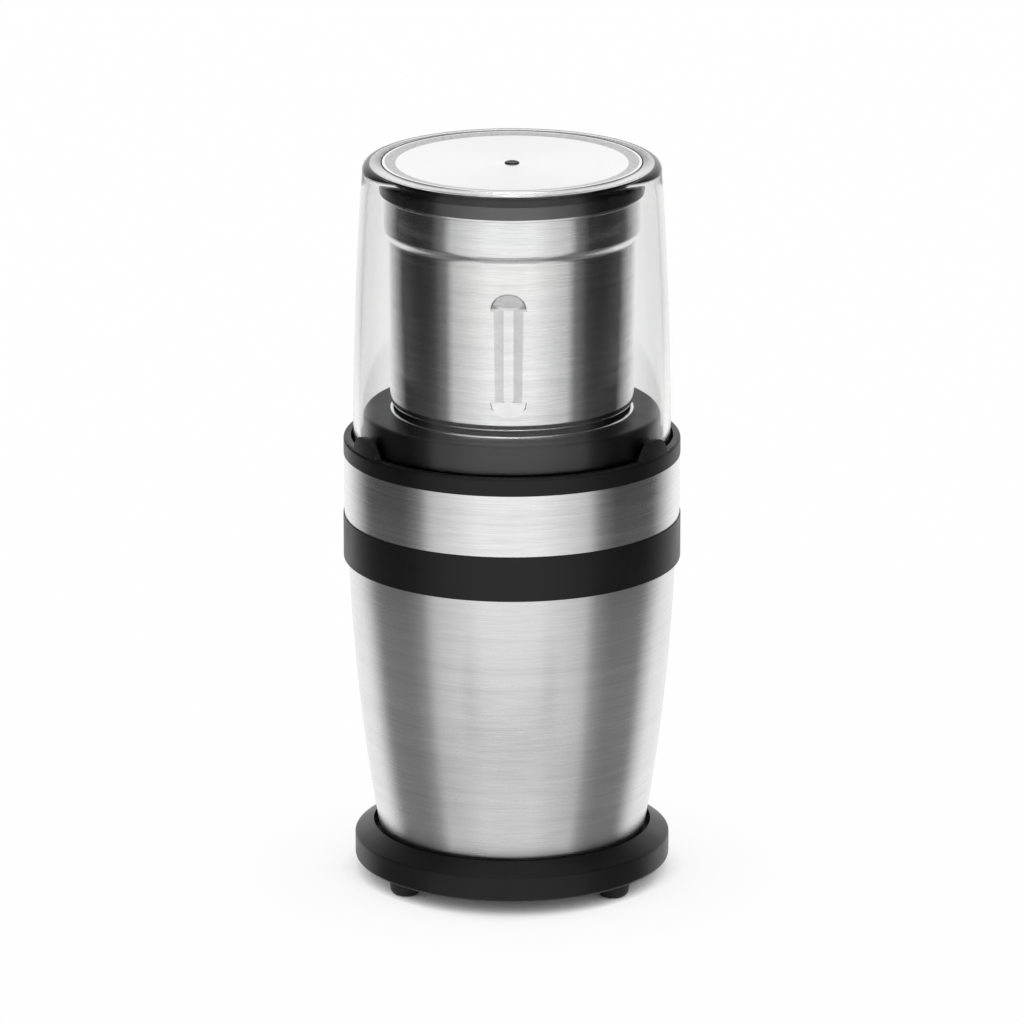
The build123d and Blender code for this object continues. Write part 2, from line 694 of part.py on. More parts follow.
# Base disc and feet

def z_gland():
    return (Z_BASE + Z_MOAT) / 2


def rear_rod(radius, start, end):
    """Rod towards the rear at the level of the cord gland."""
    return Pos(0, start, z_gland()) * Rot(-90, 0, 0) * extrude(Circle(radius), end - start)


def base_disc():
    disc = turned_points(
        (0, Z_BASE), (BASE_R, Z_BASE), (BASE_R, Z_SHOULDER), (BASE_LIP_R, Z_LIP), (BASE_LIP_R, Z_MOAT),
        (UPSTAND_R, Z_MOAT), (UPSTAND_R, Z_UPSTAND), (UPSTAND_R - UPSTAND_T, Z_UPSTAND),
        (UPSTAND_R - UPSTAND_T, Z_FLOOR), (0, Z_FLOOR),
    )
    edges = rims(disc, BASE_R, Z_BASE) + rims(disc, BASE_R, Z_SHOULDER)
    disc = fillet(edges, BASE_EDGE)
    vent = extrude(SlotOverall(VENT_OUTER_R - VENT_INNER_R, VENT_W, rotation=90), FLOOR_T)
    disc -= around(VENT_COUNT, (VENT_OUTER_R + VENT_INNER_R) / 2, Pos(0, 0, Z_BASE) * vent)
    screw_way = rod(SCREW_R + SCREW_CLEAR, Z_BASE, Z_FLOOR)
    screw_way += rod(SCREW_HEAD_R + SCREW_CLEAR, Z_BASE, Z_BASE + SCREW_HEAD_H)
    disc -= around(4, BASE_SCREW_CIRCLE_R, screw_way, BASE_SCREW_AZIMUTH)
    stem_way = rod(FOOT_STEM_R + FIT, Z_BASE, Z_BASE + FOOT_STEM_H)
    disc -= [placed(azimuth, FOOT_CIRCLE_R, stem_way) for azimuth in foot_azimuths()]
    return disc - rear_rod(GLAND_R + FIT, UPSTAND_R - UPSTAND_T - STOP_CLEAR, BASE_R + STOP_CLEAR)


def foot_azimuths():
    return [FOOT_AZIMUTH, 180 - FOOT_AZIMUTH, 180 + FOOT_AZIMUTH, 360 - FOOT_AZIMUTH]


def rubber_foot():
    pad = turned_points((0, 0), (FOOT_R - FOOT_TAPER, 0), (FOOT_R, FOOT_HEIGHT), (0, FOOT_HEIGHT))
    pad = fillet(rims(pad, FOOT_R - FOOT_TAPER, 0), FOOT_EDGE)
    return pad + rod(FOOT_STEM_R, Z_BASE, Z_BASE + FOOT_STEM_H)


def cord_gland():
    outside = sqrt(BASE_R ** 2 - GLAND_R ** 2)
    inside = UPSTAND_R - UPSTAND_T
    return rear_rod(GLAND_R, inside, outside) - rear_rod(CORD_HOLE_R, inside, outside)


def screws(count, circle_r, z_seat, start=0.0):
    """Cross-head screws driven upwards, with their heads under z_seat."""
    z_head = z_seat - SCREW_HEAD_H
    one = rod(SCREW_R, z_seat, z_seat + SCREW_GRIP) + rod(SCREW_HEAD_R, z_head, z_seat)
    cross = Rectangle(SCREW_CROSS_L, SCREW_CROSS_W) + Rectangle(SCREW_CROSS_W, SCREW_CROSS_L)
    one -= Pos(0, 0, z_head) * extrude(cross, SCREW_CROSS_DEPTH)
    return around(count, circle_r, one, start)


def base_screws():
    return screws(4, BASE_SCREW_CIRCLE_R, Z_BASE + SCREW_HEAD_H, BASE_SCREW_AZIMUTH)


def collar_screws():
    return screws(POST_COUNT, POST_CIRCLE_R, Z_DECK_UNDER)


def inner_housing():
    z_flange = Z_DECK_UNDER - FLANGE_T
    z_cone = Z_UPSTAND + STOP_CLEAR
    housing = turned_points(
        (HOUSING_FOOT_R, Z_FLOOR), (HOUSING_FOOT_R, z_cone), (HOUSING_TOP_R, z_flange), (FLANGE_R, z_flange),
        (FLANGE_R, Z_DECK_UNDER), (HOUSING_TOP_R, Z_DECK_UNDER), (HOUSING_TOP_R, Z_DECK),
        (DECK_HOLE_R, Z_DECK), (DECK_HOLE_R, Z_DECK_UNDER), (HOUSING_TOP_R - HOUSING_WALL, Z_DECK_UNDER),
        (HOUSING_TOP_R - HOUSING_WALL, z_flange), (HOUSING_FOOT_R - HOUSING_WALL, z_cone),
        (HOUSING_FOOT_R - HOUSING_WALL, Z_FLOOR),
    )
    boss_l = HOUSING_FOOT_R - HOUSING_WALL / 2 - BASE_SCREW_CIRCLE_R
    web = Pos(0, -boss_l / 2, Z_FLOOR) * Box(POST_R, boss_l, BOSS_H, align=UPRIGHT)
    boss = rod(POST_R, Z_FLOOR, Z_FLOOR + BOSS_H) + web - rod(SCREW_R, Z_FLOOR, Z_FLOOR + BOSS_H)
    housing += around(4, BASE_SCREW_CIRCLE_R, boss, BASE_SCREW_AZIMUTH)
    housing -= around(POST_COUNT, POST_CIRCLE_R, rod(SCREW_R + SCREW_CLEAR, Z_DECK_UNDER, Z_DECK))
    housing -= at_bolts(rod(BOLT_R + SCREW_CLEAR, Z_DECK_UNDER, Z_DECK))
    return housing - rear_rod(GLAND_R, 0, HOUSING_FOOT_R + LOCATE)


# Motor, fixed parts

def at_bolts(shape):
    return [Pos(x, y, 0) * shape for x in (-BOLT_X, BOLT_X) for y in (-BOLT_Y, BOLT_Y)]


def stator_core():
    yoke = RectangleRounded(STACK_X, STACK_Y, STACK_CORNER_R)
    window = RectangleRounded(STACK_X - 2 * STATOR_YOKE, STACK_Y - 2 * STATOR_YOKE, STATOR_YOKE)
    shoe = Circle(BORE_R + POLE_SHOE_T) & pole_sector()
    outline = yoke - window + Rectangle(POLE_W, STACK_Y - STATOR_YOKE) + shoe - Circle(BORE_R)
    core = Pos(0, 0, Z_STACK) * extrude(outline, STACK_H)
    return core - at_bolts(rod(BOLT_R + SCREW_CLEAR, Z_STACK, Z_STACK_TOP))


def pole_sector():
    """Two opposed wedges, front and rear, that the pole shoes span."""
    reach = STACK_X
    half = radians(POLE_SPAN / 2)
    tip = (reach * sin(half), reach * cos(half))
    front = make_face(Polyline((0, 0), (-tip[0], -tip[1]), (tip[0], -tip[1]), close=True))
    return front + Rot(0, 0, 180) * front


def field_coils():
    height = STACK_H + 2 * COIL_OVERHANG
    hole_w = POLE_W + 2 * LOCATE
    outer = RectangleRounded(hole_w + 2 * COIL_W, height, COIL_W)
    ring = outer - Rectangle(hole_w, STACK_H + 2 * LOCATE)
    near_y = sqrt((BORE_R + POLE_SHOE_T) ** 2 - (POLE_W / 2) ** 2) + LOCATE
    far_y = STACK_Y / 2 - STATOR_YOKE - LOCATE
    z_middle = Z_STACK + STACK_H / 2
    coil = Pos(0, -near_y, z_middle) * extrude(Plane.XZ * ring, far_y - near_y)
    return [coil, Rot(0, 0, 180) * coil]


def spider(z_low, z_leg):
    """Motor bracket: bearing boss, four arms and a leg to each bolt."""
    arm = Pos(BOLT_CIRCLE_R / 2, 0, 0) * Rectangle(BOLT_CIRCLE_R, BRACKET_ARM_W)
    outline = Circle(BEARING_BOSS_R)
    for x in (-BOLT_X, BOLT_X):
        for y in (-BOLT_Y, BOLT_Y):
            turn = Vector(1, 0, 0).get_signed_angle(Vector(x, y, 0))
            outline += Rot(0, 0, turn) * arm + Pos(x, y) * Circle(BRACKET_ARM_W / 2)
    bracket = Pos(0, 0, z_low) * extrude(outline, BRACKET_T)
    low = min(z_low, z_leg)
    high = max(z_low, z_leg)
    legs = at_bolts(rod(BRACKET_ARM_W / 2, low, high))
    return bracket + legs - at_bolts(rod(BOLT_R + SCREW_CLEAR, low, high + BRACKET_T))


def upper_bracket():
    boss = rod(BEARING_BOSS_R, Z_BRACKET, Z_BRACKET + BEARING_H)
    return spider(Z_BRACKET, Z_STACK_TOP) + boss - rod(BEARING_R, Z_BRACKET, Z_BRACKET + BEARING_H)


def lower_bracket():
    z_boss = Z_LOWER_BRACKET_TOP - BEARING_H / 2
    boss = rod(BEARING_BOSS_R, Z_LOWER_BRACKET, z_boss + BEARING_H)
    shelf_l = COMMUTATOR_R + CLEAR + BRUSH_L + BRUSH_BOX_WALL
    shelf = extrude(Rectangle(2 * shelf_l, BRUSH_W + 2 * BRUSH_BOX_WALL), BRACKET_T)
    shelf = Pos(0, 0, Z_LOWER_BRACKET) * shelf
    body = spider(Z_LOWER_BRACKET, Z_STACK) + shelf + boss
    return body - rod(BEARING_R, Z_LOWER_BRACKET, z_boss + BEARING_H)


def upper_bearing():
    return tube(BEARING_R - FIT, MOTOR_SHAFT_R + FIT, Z_BRACKET, Z_BRACKET + BEARING_H)


def lower_bearing():
    z_low = Z_LOWER_BRACKET_TOP - BEARING_H / 2
    return tube(BEARING_R - FIT, MOTOR_SHAFT_R + FIT, z_low, z_low + BEARING_H)


def motor_mounts():
    return at_bolts(tube(MOUNT_R, BOLT_R + SCREW_CLEAR, Z_DECK_UNDER - MOUNT_T, Z_DECK_UNDER))


def motor_bolts():
    shank = rod(BOLT_R, Z_LOWER_BRACKET, Z_DECK + BOLT_HEAD_H)
    head = Pos(0, 0, Z_LOWER_BRACKET - BOLT_HEAD_H) * extrude(RegularPolygon(BOLT_HEAD_R, 6), BOLT_HEAD_H)
    nut = Pos(0, 0, Z_DECK) * extrude(RegularPolygon(BOLT_HEAD_R, 6), BOLT_HEAD_H)
    return at_bolts(shank + head + nut)


def z_brush():
    return Z_COMMUTATOR + COMMUTATOR_H / 2


def brush_holders():
    start = COMMUTATOR_R + STOP_CLEAR
    length = BRUSH_L + BRUSH_BOX_WALL
    width = BRUSH_W + 2 * BRUSH_BOX_WALL
    z_high = z_brush() + width / 2
    block = Box(length, width, z_high - Z_LOWER_BRACKET_TOP, align=(Align.MIN, Align.CENTER, Align.MIN))
    block = Pos(start, 0, Z_LOWER_BRACKET_TOP) * block
    way = Box(BRUSH_L, BRUSH_W + 2 * FIT, BRUSH_W + 2 * FIT, align=OUTWARD)
    block -= Pos(start, 0, z_brush()) * way
    return [block, Rot(0, 0, 180) * block]


def carbon_brushes():
    brush = Box(BRUSH_L, BRUSH_W, BRUSH_W, align=OUTWARD)
    brush = Pos(COMMUTATOR_R + CLEAR, 0, z_brush()) * brush
    return [brush, Rot(0, 0, 180) * brush]


# Motor, turning parts

def motor_shaft():
    return rod(MOTOR_SHAFT_R, Z_SHAFT_FOOT, Z_STAR)


def armature_core():
    slot = Pos(0, -ARMATURE_R + SLOT_DEPTH / 2) * Rectangle(SLOT_W, SLOT_DEPTH)
    outline = Circle(ARMATURE_R) - Circle(MOTOR_SHAFT_R)
    outline -= [Rot(0, 0, 360.0 * i / SLOT_COUNT) * slot for i in range(SLOT_COUNT)]
    return Pos(0, 0, Z_STACK) * extrude(outline, STACK_H)


def armature_windings():
    low = tube(WINDING_R, WINDING_INNER_R, Z_STACK - WINDING_H, Z_STACK)
    low = fillet(rims(low, WINDING_R, Z_STACK - WINDING_H), WINDING_H / 3)
    high = tube(WINDING_R, WINDING_INNER_R, Z_STACK_TOP, Z_STACK_TOP + WINDING_H)
    high = fillet(rims(high, WINDING_R, Z_STACK_TOP + WINDING_H), WINDING_H / 3)
    return [low, high]


def commutator():
    outline = Circle(COMMUTATOR_R)
    slit_l = COMMUTATOR_R / 3
    slit = Pos(0, -COMMUTATOR_R + slit_l / 2) * Rectangle(COMMUTATOR_SLIT, slit_l)
    outline -= [Rot(0, 0, 360.0 * i / SLOT_COUNT) * slit for i in range(SLOT_COUNT)]
    drum = Pos(0, 0, Z_COMMUTATOR) * extrude(outline, COMMUTATOR_H)
    return drum - rod(MOTOR_SHAFT_R, Z_COMMUTATOR, Z_COMMUTATOR_TOP)


def cooling_fan():
    z_disc = Z_FAN_TOP - FAN_DISC_T
    disc = rod(FAN_R, z_disc, Z_FAN_TOP) + rod(FAN_HUB_R, Z_FAN, Z_FAN_TOP)
    length = FAN_R - FAN_HUB_R
    vane = Box(FAN_BLADE_T, length, FAN_BLADE_H, align=UPRIGHT)
    vane = Pos(0, 0, Z_FAN) * vane
    disc += around(FAN_BLADE_COUNT, FAN_R - length / 2 - FAN_BLADE_T / 4, vane)
    return disc - rod(MOTOR_SHAFT_R, Z_FAN, Z_FAN_TOP)


# Press switch

def micro_switch():
    body = Box(SWITCH_L, SWITCH_W, SWITCH_H, align=UPRIGHT)
    body = fillet(body.edges().filter_by(Axis.Z), SWITCH_W / 8)
    body = Pos(0, 0, Z_DECK) * body
    body -= rod(PLUNGER_R + CLEAR, Z_DECK + SWITCH_H / 4, Z_SWITCH_TOP)
    return placed(SWITCH_AZIMUTH, SWITCH_CIRCLE_R, body)


def switch_plunger():
    z_foot = Z_SWITCH_TOP - SWITCH_H / 4
    return placed(SWITCH_AZIMUTH, SWITCH_CIRCLE_R, rod(PLUNGER_R, z_foot, Z_PLUNGER_TOP))


def push_rod():
    arm_l = PIN_CIRCLE_R - SWITCH_CIRCLE_R
    arm = SlotCenterToCenter(arm_l, ARM_W, rotation=90)
    arm = Pos(0, 0, Z_ARM) * extrude(arm, ARM_T)
    slider = placed(SWITCH_AZIMUTH, (PIN_CIRCLE_R + SWITCH_CIRCLE_R) / 2, arm)
    slider += placed(SWITCH_AZIMUTH, PIN_CIRCLE_R, rod(PIN_R, Z_ARM, Z_PIN_TOP))
    return slider + placed(SWITCH_AZIMUTH, SWITCH_CIRCLE_R, rod(STEM_R, Z_PLUNGER_TOP, Z_ARM_TOP))


def return_spring():
    height = Z_ARM - Z_SWITCH_TOP - 2 * SPRING_WIRE_R - 2 * FIT
    coil = Helix(height / SPRING_TURNS, height, SPRING_R)
    wire = sweep(Plane(coil @ 0, z_dir=coil % 0) * Circle(SPRING_WIRE_R), coil)
    z_foot = Z_SWITCH_TOP + SPRING_WIRE_R + FIT
    return placed(SWITCH_AZIMUTH, SWITCH_CIRCLE_R, Pos(0, 0, z_foot) * wire)


NODES = {
    "clear_lid": clear_lid,
    "lid_cap": lid_cap,
    "lid_top_plate": lid_top_plate,
    "lid_centre_stud": lid_centre_stud,
    "lid_seal": lid_seal,
    "cup_shell": cup_shell,
    "cup_base": cup_base,
    "blade_bush": blade_bush,
    "blade_lip_seal": blade_lip_seal,
    "blade_shaft": blade_shaft,
    "blade": blade,
    "blade_cap_nut": blade_cap_nut,
    "cup_coupling": cup_coupling,
    "drive_coupling": drive_coupling,
    "top_collar": top_collar,
    "seat_ring": seat_ring,
    "shaft_seal": shaft_seal,
    "upper_sleeve": upper_sleeve,
    "mid_band": mid_band,
    "lower_shell": lower_shell,
    "base_disc": base_disc,
    "cord_gland": cord_gland,
    "base_screws": base_screws,
    "collar_screws": collar_screws,
    "inner_housing": inner_housing,
    "stator_core": stator_core,
    "field_coils": field_coils,
    "upper_bracket": upper_bracket,
    "lower_bracket": lower_bracket,
    "upper_bearing": upper_bearing,
    "lower_bearing": lower_bearing,
    "motor_mounts": motor_mounts,
    "motor_bolts": motor_bolts,
    "brush_holders": brush_holders,
    "carbon_brushes": carbon_brushes,
    "motor_shaft": motor_shaft,
    "armature_core": armature_core,
    "armature_windings": armature_windings,
    "commutator": commutator,
    "cooling_fan": cooling_fan,
    "micro_switch": micro_switch,
    "switch_plunger": switch_plunger,
    "push_rod": push_rod,
    "return_spring": return_spring,
}


def write(name, shape):
    if isinstance(shape, list):
        shape = Compound(children=shape)
    export_step(shape, "parts/" + name + ".step")


os.makedirs("parts", exist_ok=True)
for node_name, make in NODES.items():
    write(node_name, make())
for number, foot_azimuth in enumerate(foot_azimuths(), start=1):
    write("rubber_foot_" + str(number), placed(foot_azimuth, FOOT_CIRCLE_R, rubber_foot()))
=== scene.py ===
"""Looks of the wet and dry grinder: finishes, soft and drawn pieces, studio light and camera.

The scene is in metres, in the frame of the CAD model. Sizes of pieces and their outlines of
(radius, height) are in millimetres, sizes of the studio in metres, and angles in degrees.
"""
from math import atan2, cos, hypot, pi, radians, sin, tan

import bmesh
import bpy
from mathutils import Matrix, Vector


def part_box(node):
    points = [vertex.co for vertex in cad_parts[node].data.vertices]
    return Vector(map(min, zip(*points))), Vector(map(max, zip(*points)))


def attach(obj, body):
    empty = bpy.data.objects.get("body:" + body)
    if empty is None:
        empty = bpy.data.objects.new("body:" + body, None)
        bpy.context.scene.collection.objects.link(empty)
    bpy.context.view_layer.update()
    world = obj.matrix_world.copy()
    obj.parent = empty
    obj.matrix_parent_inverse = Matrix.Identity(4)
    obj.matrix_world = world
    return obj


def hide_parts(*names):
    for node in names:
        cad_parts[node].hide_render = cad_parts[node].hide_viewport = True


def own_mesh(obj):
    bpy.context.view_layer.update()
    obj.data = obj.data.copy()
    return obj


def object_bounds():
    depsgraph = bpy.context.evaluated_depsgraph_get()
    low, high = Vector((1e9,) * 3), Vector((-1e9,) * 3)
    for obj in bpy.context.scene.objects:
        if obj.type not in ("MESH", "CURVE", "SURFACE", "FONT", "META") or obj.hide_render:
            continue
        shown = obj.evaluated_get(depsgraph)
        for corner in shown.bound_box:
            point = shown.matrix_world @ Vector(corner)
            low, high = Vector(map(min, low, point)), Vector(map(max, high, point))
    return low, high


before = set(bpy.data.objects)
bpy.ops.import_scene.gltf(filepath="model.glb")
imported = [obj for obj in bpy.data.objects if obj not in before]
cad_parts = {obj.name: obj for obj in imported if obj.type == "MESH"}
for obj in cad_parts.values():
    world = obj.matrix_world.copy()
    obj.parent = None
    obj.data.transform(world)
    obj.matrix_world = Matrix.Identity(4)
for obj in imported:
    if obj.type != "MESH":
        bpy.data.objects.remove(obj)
cad_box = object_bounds()

MM = 0.001

# Camera, fitted to the photograph
VIEW_AZIMUTH = 1.6
VIEW_ELEVATION = 16.25
VIEW_DISTANCE = 2.375
VIEW_LENS = 260.5
VIEW_SENSOR = 36.0
VIEW_SHIFT = 0.0057

# Clear lid: its sizes, how near to the underside of its lip a face is bright, and its plastic
LID_WALL = 2.2
LID_LEAN = 3.25
LID_BULGE = 0.75
LID_CORNER = 2.7
LID_EDGE = 0.5
LID_TOP = 1.2
FOIL_REACH = 0.02
LID_GREY = 1.5
LID_GLOSS = 0.72
LID_REFRACTION = 1.49

# Cap and dished plate under the top of the lid
CAP_WEB = 2.2
CAP_STEP = 0.5
CAP_LIP = 0.9
CAP_FIT = 0.05
CAP_BRIM = 1.1
CAP_EDGE = 0.3
PLATE_T = 0.6
PLATE_EDGE = 0.45
DISH_DROP = 0.6
DISH_SLOPE = 4.5
DISH_RIM = 0.9
# Width of the slope left in plain steel, inside the painted shade ring
DISH_BRIGHT = 1.1

# Centre stud, with some radii as shares of its head
STUD_DIMPLE = 0.2
STUD_DIMPLE_SIDE = 0.15
STUD_DIMPLE_SHARE = 0.45
STUD_CROWN_SHARE = 0.62
STUD_SHANK_SHARE = 0.68
STUD_CHAMFER = 0.3
STUD_CHAMFER_DROP = 0.2
STUD_EDGE = 0.12

# Seal
SEAL_PLUG = 1.8
SEAL_DROP = 3.0
SEAL_CLEAR = 1.0
SEAL_EDGE = 0.4

# Cup
CUP_T = 0.8
CUP_STEP = 1.5
CUP_DRAFT = 0.35
CUP_CORNER = 3.8
CUP_SHOULDER = 5.3
CUP_ROLL = 3.8
CUP_COLLAR = 10.7
CUP_BEAD = 0.5
CUP_BEAD_H = 1.0
CUP_BEAD_EDGE = 0.4
CUP_BORE_R = 7.25
CUP_FLOOR_R = 20.0

# Flutes of the cup, and the half-moon ramps at their ends
FLUTE_COUNT = 3
FLUTE_FLOOR_W = 3.0
FLUTE_SLOPE = 22.0
FLUTE_DEPTH = 1.55
FLUTE_FOOT = 5.4
FLUTE_HEAD = 8.5
FLUTE_ROLL = 0.05
FLUTE_END = FLUTE_FLOOR_W / 2 + FLUTE_DEPTH / tan(radians(FLUTE_SLOPE))
MOON_R = 5.6
MOON_EDGE = 8.0
MOON_TAPER = 0.58

# Return spring of the switch
SPRING_WIRE = 0.3
SPRING_TURNS = 4

# Finishes, with lengths in metres: lines of brushed metal, spacing of patterns and heights of relief
LINE_RUN = 0.0015
LINE_SHARE = 0.65
LINES_PER_STREAK = 9
LINE_TURN = 0.25
GRAINS_PER_CLOUD = 60
WAVE_STRETCH = 6.4
NOISE_LOW = 0.3
NOISE_HIGH = 0.7
LINE_HEIGHT = 0.00002
GRAIN_HEIGHT = 0.00003
MOTTLE_HEIGHT = 0.00005
FLOW_HEIGHT = 0.0002

# Studio: share of the white walls that diffuse rays get, tones by height, and the lamp
WALL_FILL = 0.6
WALL_TONES = [(0.0, 1.0), (0.52, 1.0), (0.62, 0.4), (0.8, 0.4), (0.95, 1.0)]
LAMP_POWER = 2.0
LAMP_ANGLE = 25.0

# Floor: share of its own white, and tones by how open it lies to its surroundings
FLOOR_R = 8.0
FLOOR_SIDES = 96
FLOOR_COLOUR = 0.9
FLOOR_GLOW = 0.85
FLOOR_NEAR = 0.03
FLOOR_SAMPLES = 4
FLOOR_TONES = [(0.0, 0.0), (0.1, 0.02), (0.26, 0.5), (0.42, 0.9), (0.6, 1.0)]

# Side cards: rows of reach, height and last mirrored azimuth, then tones by height and cover across
CARD_ROWS = [(0.054, 0.0008, 132), (0.10, 0.001, 132), (0.137, 0.048, 130), (0.175, 0.098, 151),
             (0.21, 0.144, 170), (0.33, 0.30, 170), (0.45, 0.90, 170)]
CARD_BODY = 0.048
CARD_START = 20.0
CARD_MIDDLE = 90.0
CARD_STEPS = 96
CARD_TONES = [(0.05, 0.21), (0.10, 0.04), (0.15, 0.015)]
CARD_COVER = [(0.0, 0.0), (0.06, 0.1), (0.14, 0.25), (0.25, 0.42), (0.31, 0.85),
              (0.40, 0.985), (0.70, 0.985), (0.82, 0.5), (0.92, 0.15), (1.0, 0.0)]

# Front strip on the floor: bowed away to both sides, mirrored in the heads of the flutes
STRIP_NEAR = 0.058
STRIP_FAR = 0.172
STRIP_BOW = 2.8
STRIP_REACH = 0.10
STRIP_HEIGHT = 0.0005
STRIP_STEPS = 24
STRIP_TONE = 0.12
STRIP_COVER = [(0.0, 0.22), (0.58, 0.22), (0.70, 0.62), (0.90, 0.62), (1.0, 0.0)]

# Mesh fineness: steps of turned pieces, of the cup and of the spring
TURN_STEPS = 288
CORNER_STEPS = 12
ROLL_STEPS = 24
CUP_ROWS = 180
CUP_ROW_SKIP = 6
CUP_DEGREE_STEPS = 4
CUP_TURN_SKIP = 5
FLUTE_FINE = 9.0
FLUTE_MARGIN = 1.0
SPRING_STEPS = 24
WIRE_SIDES = 10

# Mesh limits: welding in metres, radius of a pole, the angle from which an edge is shaded sharp,
# and the angle from which a corner is rounded, with the share of a side that this may take
WELD = 1e-7
POLE_R = 1e-6
SHARP_ANGLE = 31.0
ROUND_ANGLE = 14.0
ROUND_SHARE = 0.45


def span(node):
    """Outer radius, foot and head of a turned CAD node, in millimetres."""
    low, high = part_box(node)
    return high.x / MM, low.z / MM, high.z / MM


# Lid radii and levels, from the frame
LID_RIM_R, Z_LID_RIM, Z_TOP = span("clear_lid")
CAP_R, Z_CAP, _ = span("lid_cap")
PLATE_R, Z_DISH_UNDER, _ = span("lid_top_plate")
LID_SHOULDER_R = LID_RIM_R - LID_LEAN
LID_BORE_R = LID_SHOULDER_R - LID_WALL
LIP_R = CAP_R - CAP_LIP
DISH_R = PLATE_R - DISH_RIM - DISH_SLOPE
SLOPE_R = DISH_R + DISH_SLOPE
Z_LIP = Z_TOP - LID_TOP
Z_PLATE = Z_TOP - PLATE_T
Z_DISH = Z_PLATE - DISH_DROP
Z_DISH_TOP = Z_DISH + PLATE_T

# Cup radii and levels, from the frame
CUP_BEAD_R, Z_CUP, Z_CUP_RIM = span("cup_shell")
CUP_TOP_R = CUP_BEAD_R - CUP_BEAD
CUP_WAIST_R = CUP_TOP_R - CUP_STEP
CUP_FOOT_R = CUP_WAIST_R - CUP_DRAFT
CUP_WALL_R = (CUP_FOOT_R + CUP_WAIST_R) / 2
Z_CUP_CORNER = Z_CUP + CUP_CORNER
Z_CUP_COLLAR = Z_CUP_RIM - CUP_COLLAR
Z_CUP_WAIST = Z_CUP_COLLAR - CUP_SHOULDER
Z_FLUTE_LOW = Z_CUP + FLUTE_FOOT + FLUTE_END
Z_FLUTE_HIGH = Z_CUP_WAIST - FLUTE_HEAD - FLUTE_END


# Outlines

def bow(start, end, bulge, count=24):
    """Points of an arc between two outline points, bowed outwards at half height."""
    chord = Vector(end) - Vector(start)
    side = Vector((chord.y, -chord.x)).normalized()
    if side.x * bulge < 0:
        side = -side
    points = []
    for i in range(count + 1):
        t = i / count
        p = Vector(start) + chord * t + side * (4 * abs(bulge) * t * (1 - t))
        points.append((p.x, p.y))
    return points


def arc(centre, radius, start, end, count=10):
    """Points of a circle's arc between two angles."""
    angles = [radians(start + (end - start) * i / count) for i in range(count + 1)]
    return [(centre[0] + radius * cos(a), centre[1] + radius * sin(a)) for a in angles]


def soften(points, radius, closed=True, count=4):
    """Outline with its sharp corners rounded."""
    out = []
    last = len(points) - 1
    for i, point in enumerate(points):
        here = Vector(point)
        if not closed and i in (0, last):
            out.append(point)
            continue
        before = Vector(points[i - 1]) - here
        after = Vector(points[(i + 1) % len(points)]) - here
        turn = pi - before.angle(after)
        if turn < radians(ROUND_ANGLE):
            out.append(point)
            continue
        reach = min(radius * tan(turn / 2), ROUND_SHARE * before.length, ROUND_SHARE * after.length)
        a = here + before.normalized() * reach
        b = here + after.normalized() * reach
        for step in range(count + 1):
            t = step / count
            p = a * (1 - t) ** 2 + here * (2 * t * (1 - t)) + b * t ** 2
            out.append((p.x, p.y))
    return out


# Mesh builders

def finish_mesh(name, bm, body, slot, nodes, finish=None):
    """Turn a mesh into a named piece that rides a body and stands for CAD nodes."""
    bmesh.ops.remove_doubles(bm, verts=bm.verts, dist=WELD)
    bmesh.ops.recalc_face_normals(bm, faces=bm.faces)
    mesh = bpy.data.meshes.new(name)
    bm.to_mesh(mesh)
    bm.free()
    mesh.shade_smooth()
    mesh.set_sharp_from_angle(angle=radians(SHARP_ANGLE))
    piece = bpy.data.objects.new(name, mesh)
    bpy.context.scene.collection.objects.link(piece)
    piece.data.materials.append(finishes[finish or slot])
    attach(piece, body)
    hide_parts(*nodes)
    return piece


def second_finish(piece, finish, wanted):
    """Give another finish to the wanted faces of a turned piece.

    A face is judged by its radius and height, and by whether it faces away from the axis.
    """
    piece.data.materials.append(finishes[finish])
    for face in piece.data.polygons:
        outward = face.normal.xy.dot(face.center.xy) > 0
        if wanted(face.center.xy.length / MM, face.center.z / MM, outward):
            face.material_index = 1


def skin(bm, rings, closed):
    """Faces between rings of vertices; a ring of one vertex is a pole."""
    pairs = list(zip(rings, rings[1:]))
    if closed:
        pairs.append((rings[-1], rings[0]))
    for low, high in pairs:
        count = max(len(low), len(high))
        for i in range(count):
            j = (i + 1) % count
            corners = [low[i % len(low)], low[j % len(low)], high[j % len(high)], high[i % len(high)]]
            corners = list(dict.fromkeys(corners))
            if len(corners) > 2:
                bm.faces.new(corners)


def lathe(name, outline, body, slot, nodes, closed=True, finish=None):
    """Turned piece from an outline."""
    bm = bmesh.new()
    rings = []
    for r, z in outline:
        if r < POLE_R:
            rings.append([bm.verts.new((0, 0, z * MM))])
            continue
        angles = [2 * pi * i / TURN_STEPS for i in range(TURN_STEPS)]
        rings.append([bm.verts.new((r * MM * cos(a), r * MM * sin(a), z * MM)) for a in angles])
    skin(bm, rings, closed)
    return finish_mesh(name, bm, body, slot, nodes, finish)


# Shader nodes

def new_material(name):
    material = bpy.data.materials.new(name)
    material.use_nodes = True
    return material, material.node_tree, material.node_tree.nodes["Principled BSDF"]


def add(tree, kind, **values):
    """Shader node with its settings and unlinked inputs."""
    node = tree.nodes.new(kind)
    for key, value in values.items():
        if hasattr(node, key):
            setattr(node, key, value)
        else:
            node.inputs[key.replace("_", " ")].default_value = value
    return node


def calc(tree, operation, first, second=None):
    """Output of a maths node fed by sockets or plain numbers."""
    node = add(tree, "ShaderNodeMath", operation=operation)
    for socket, value in zip(node.inputs, (first, second)):
        if value is None:
            continue
        if isinstance(value, (int, float)):
            socket.default_value = value
        else:
            tree.links.new(value, socket)
    return node.outputs[0]


def grey(value):
    return (value, value, value)


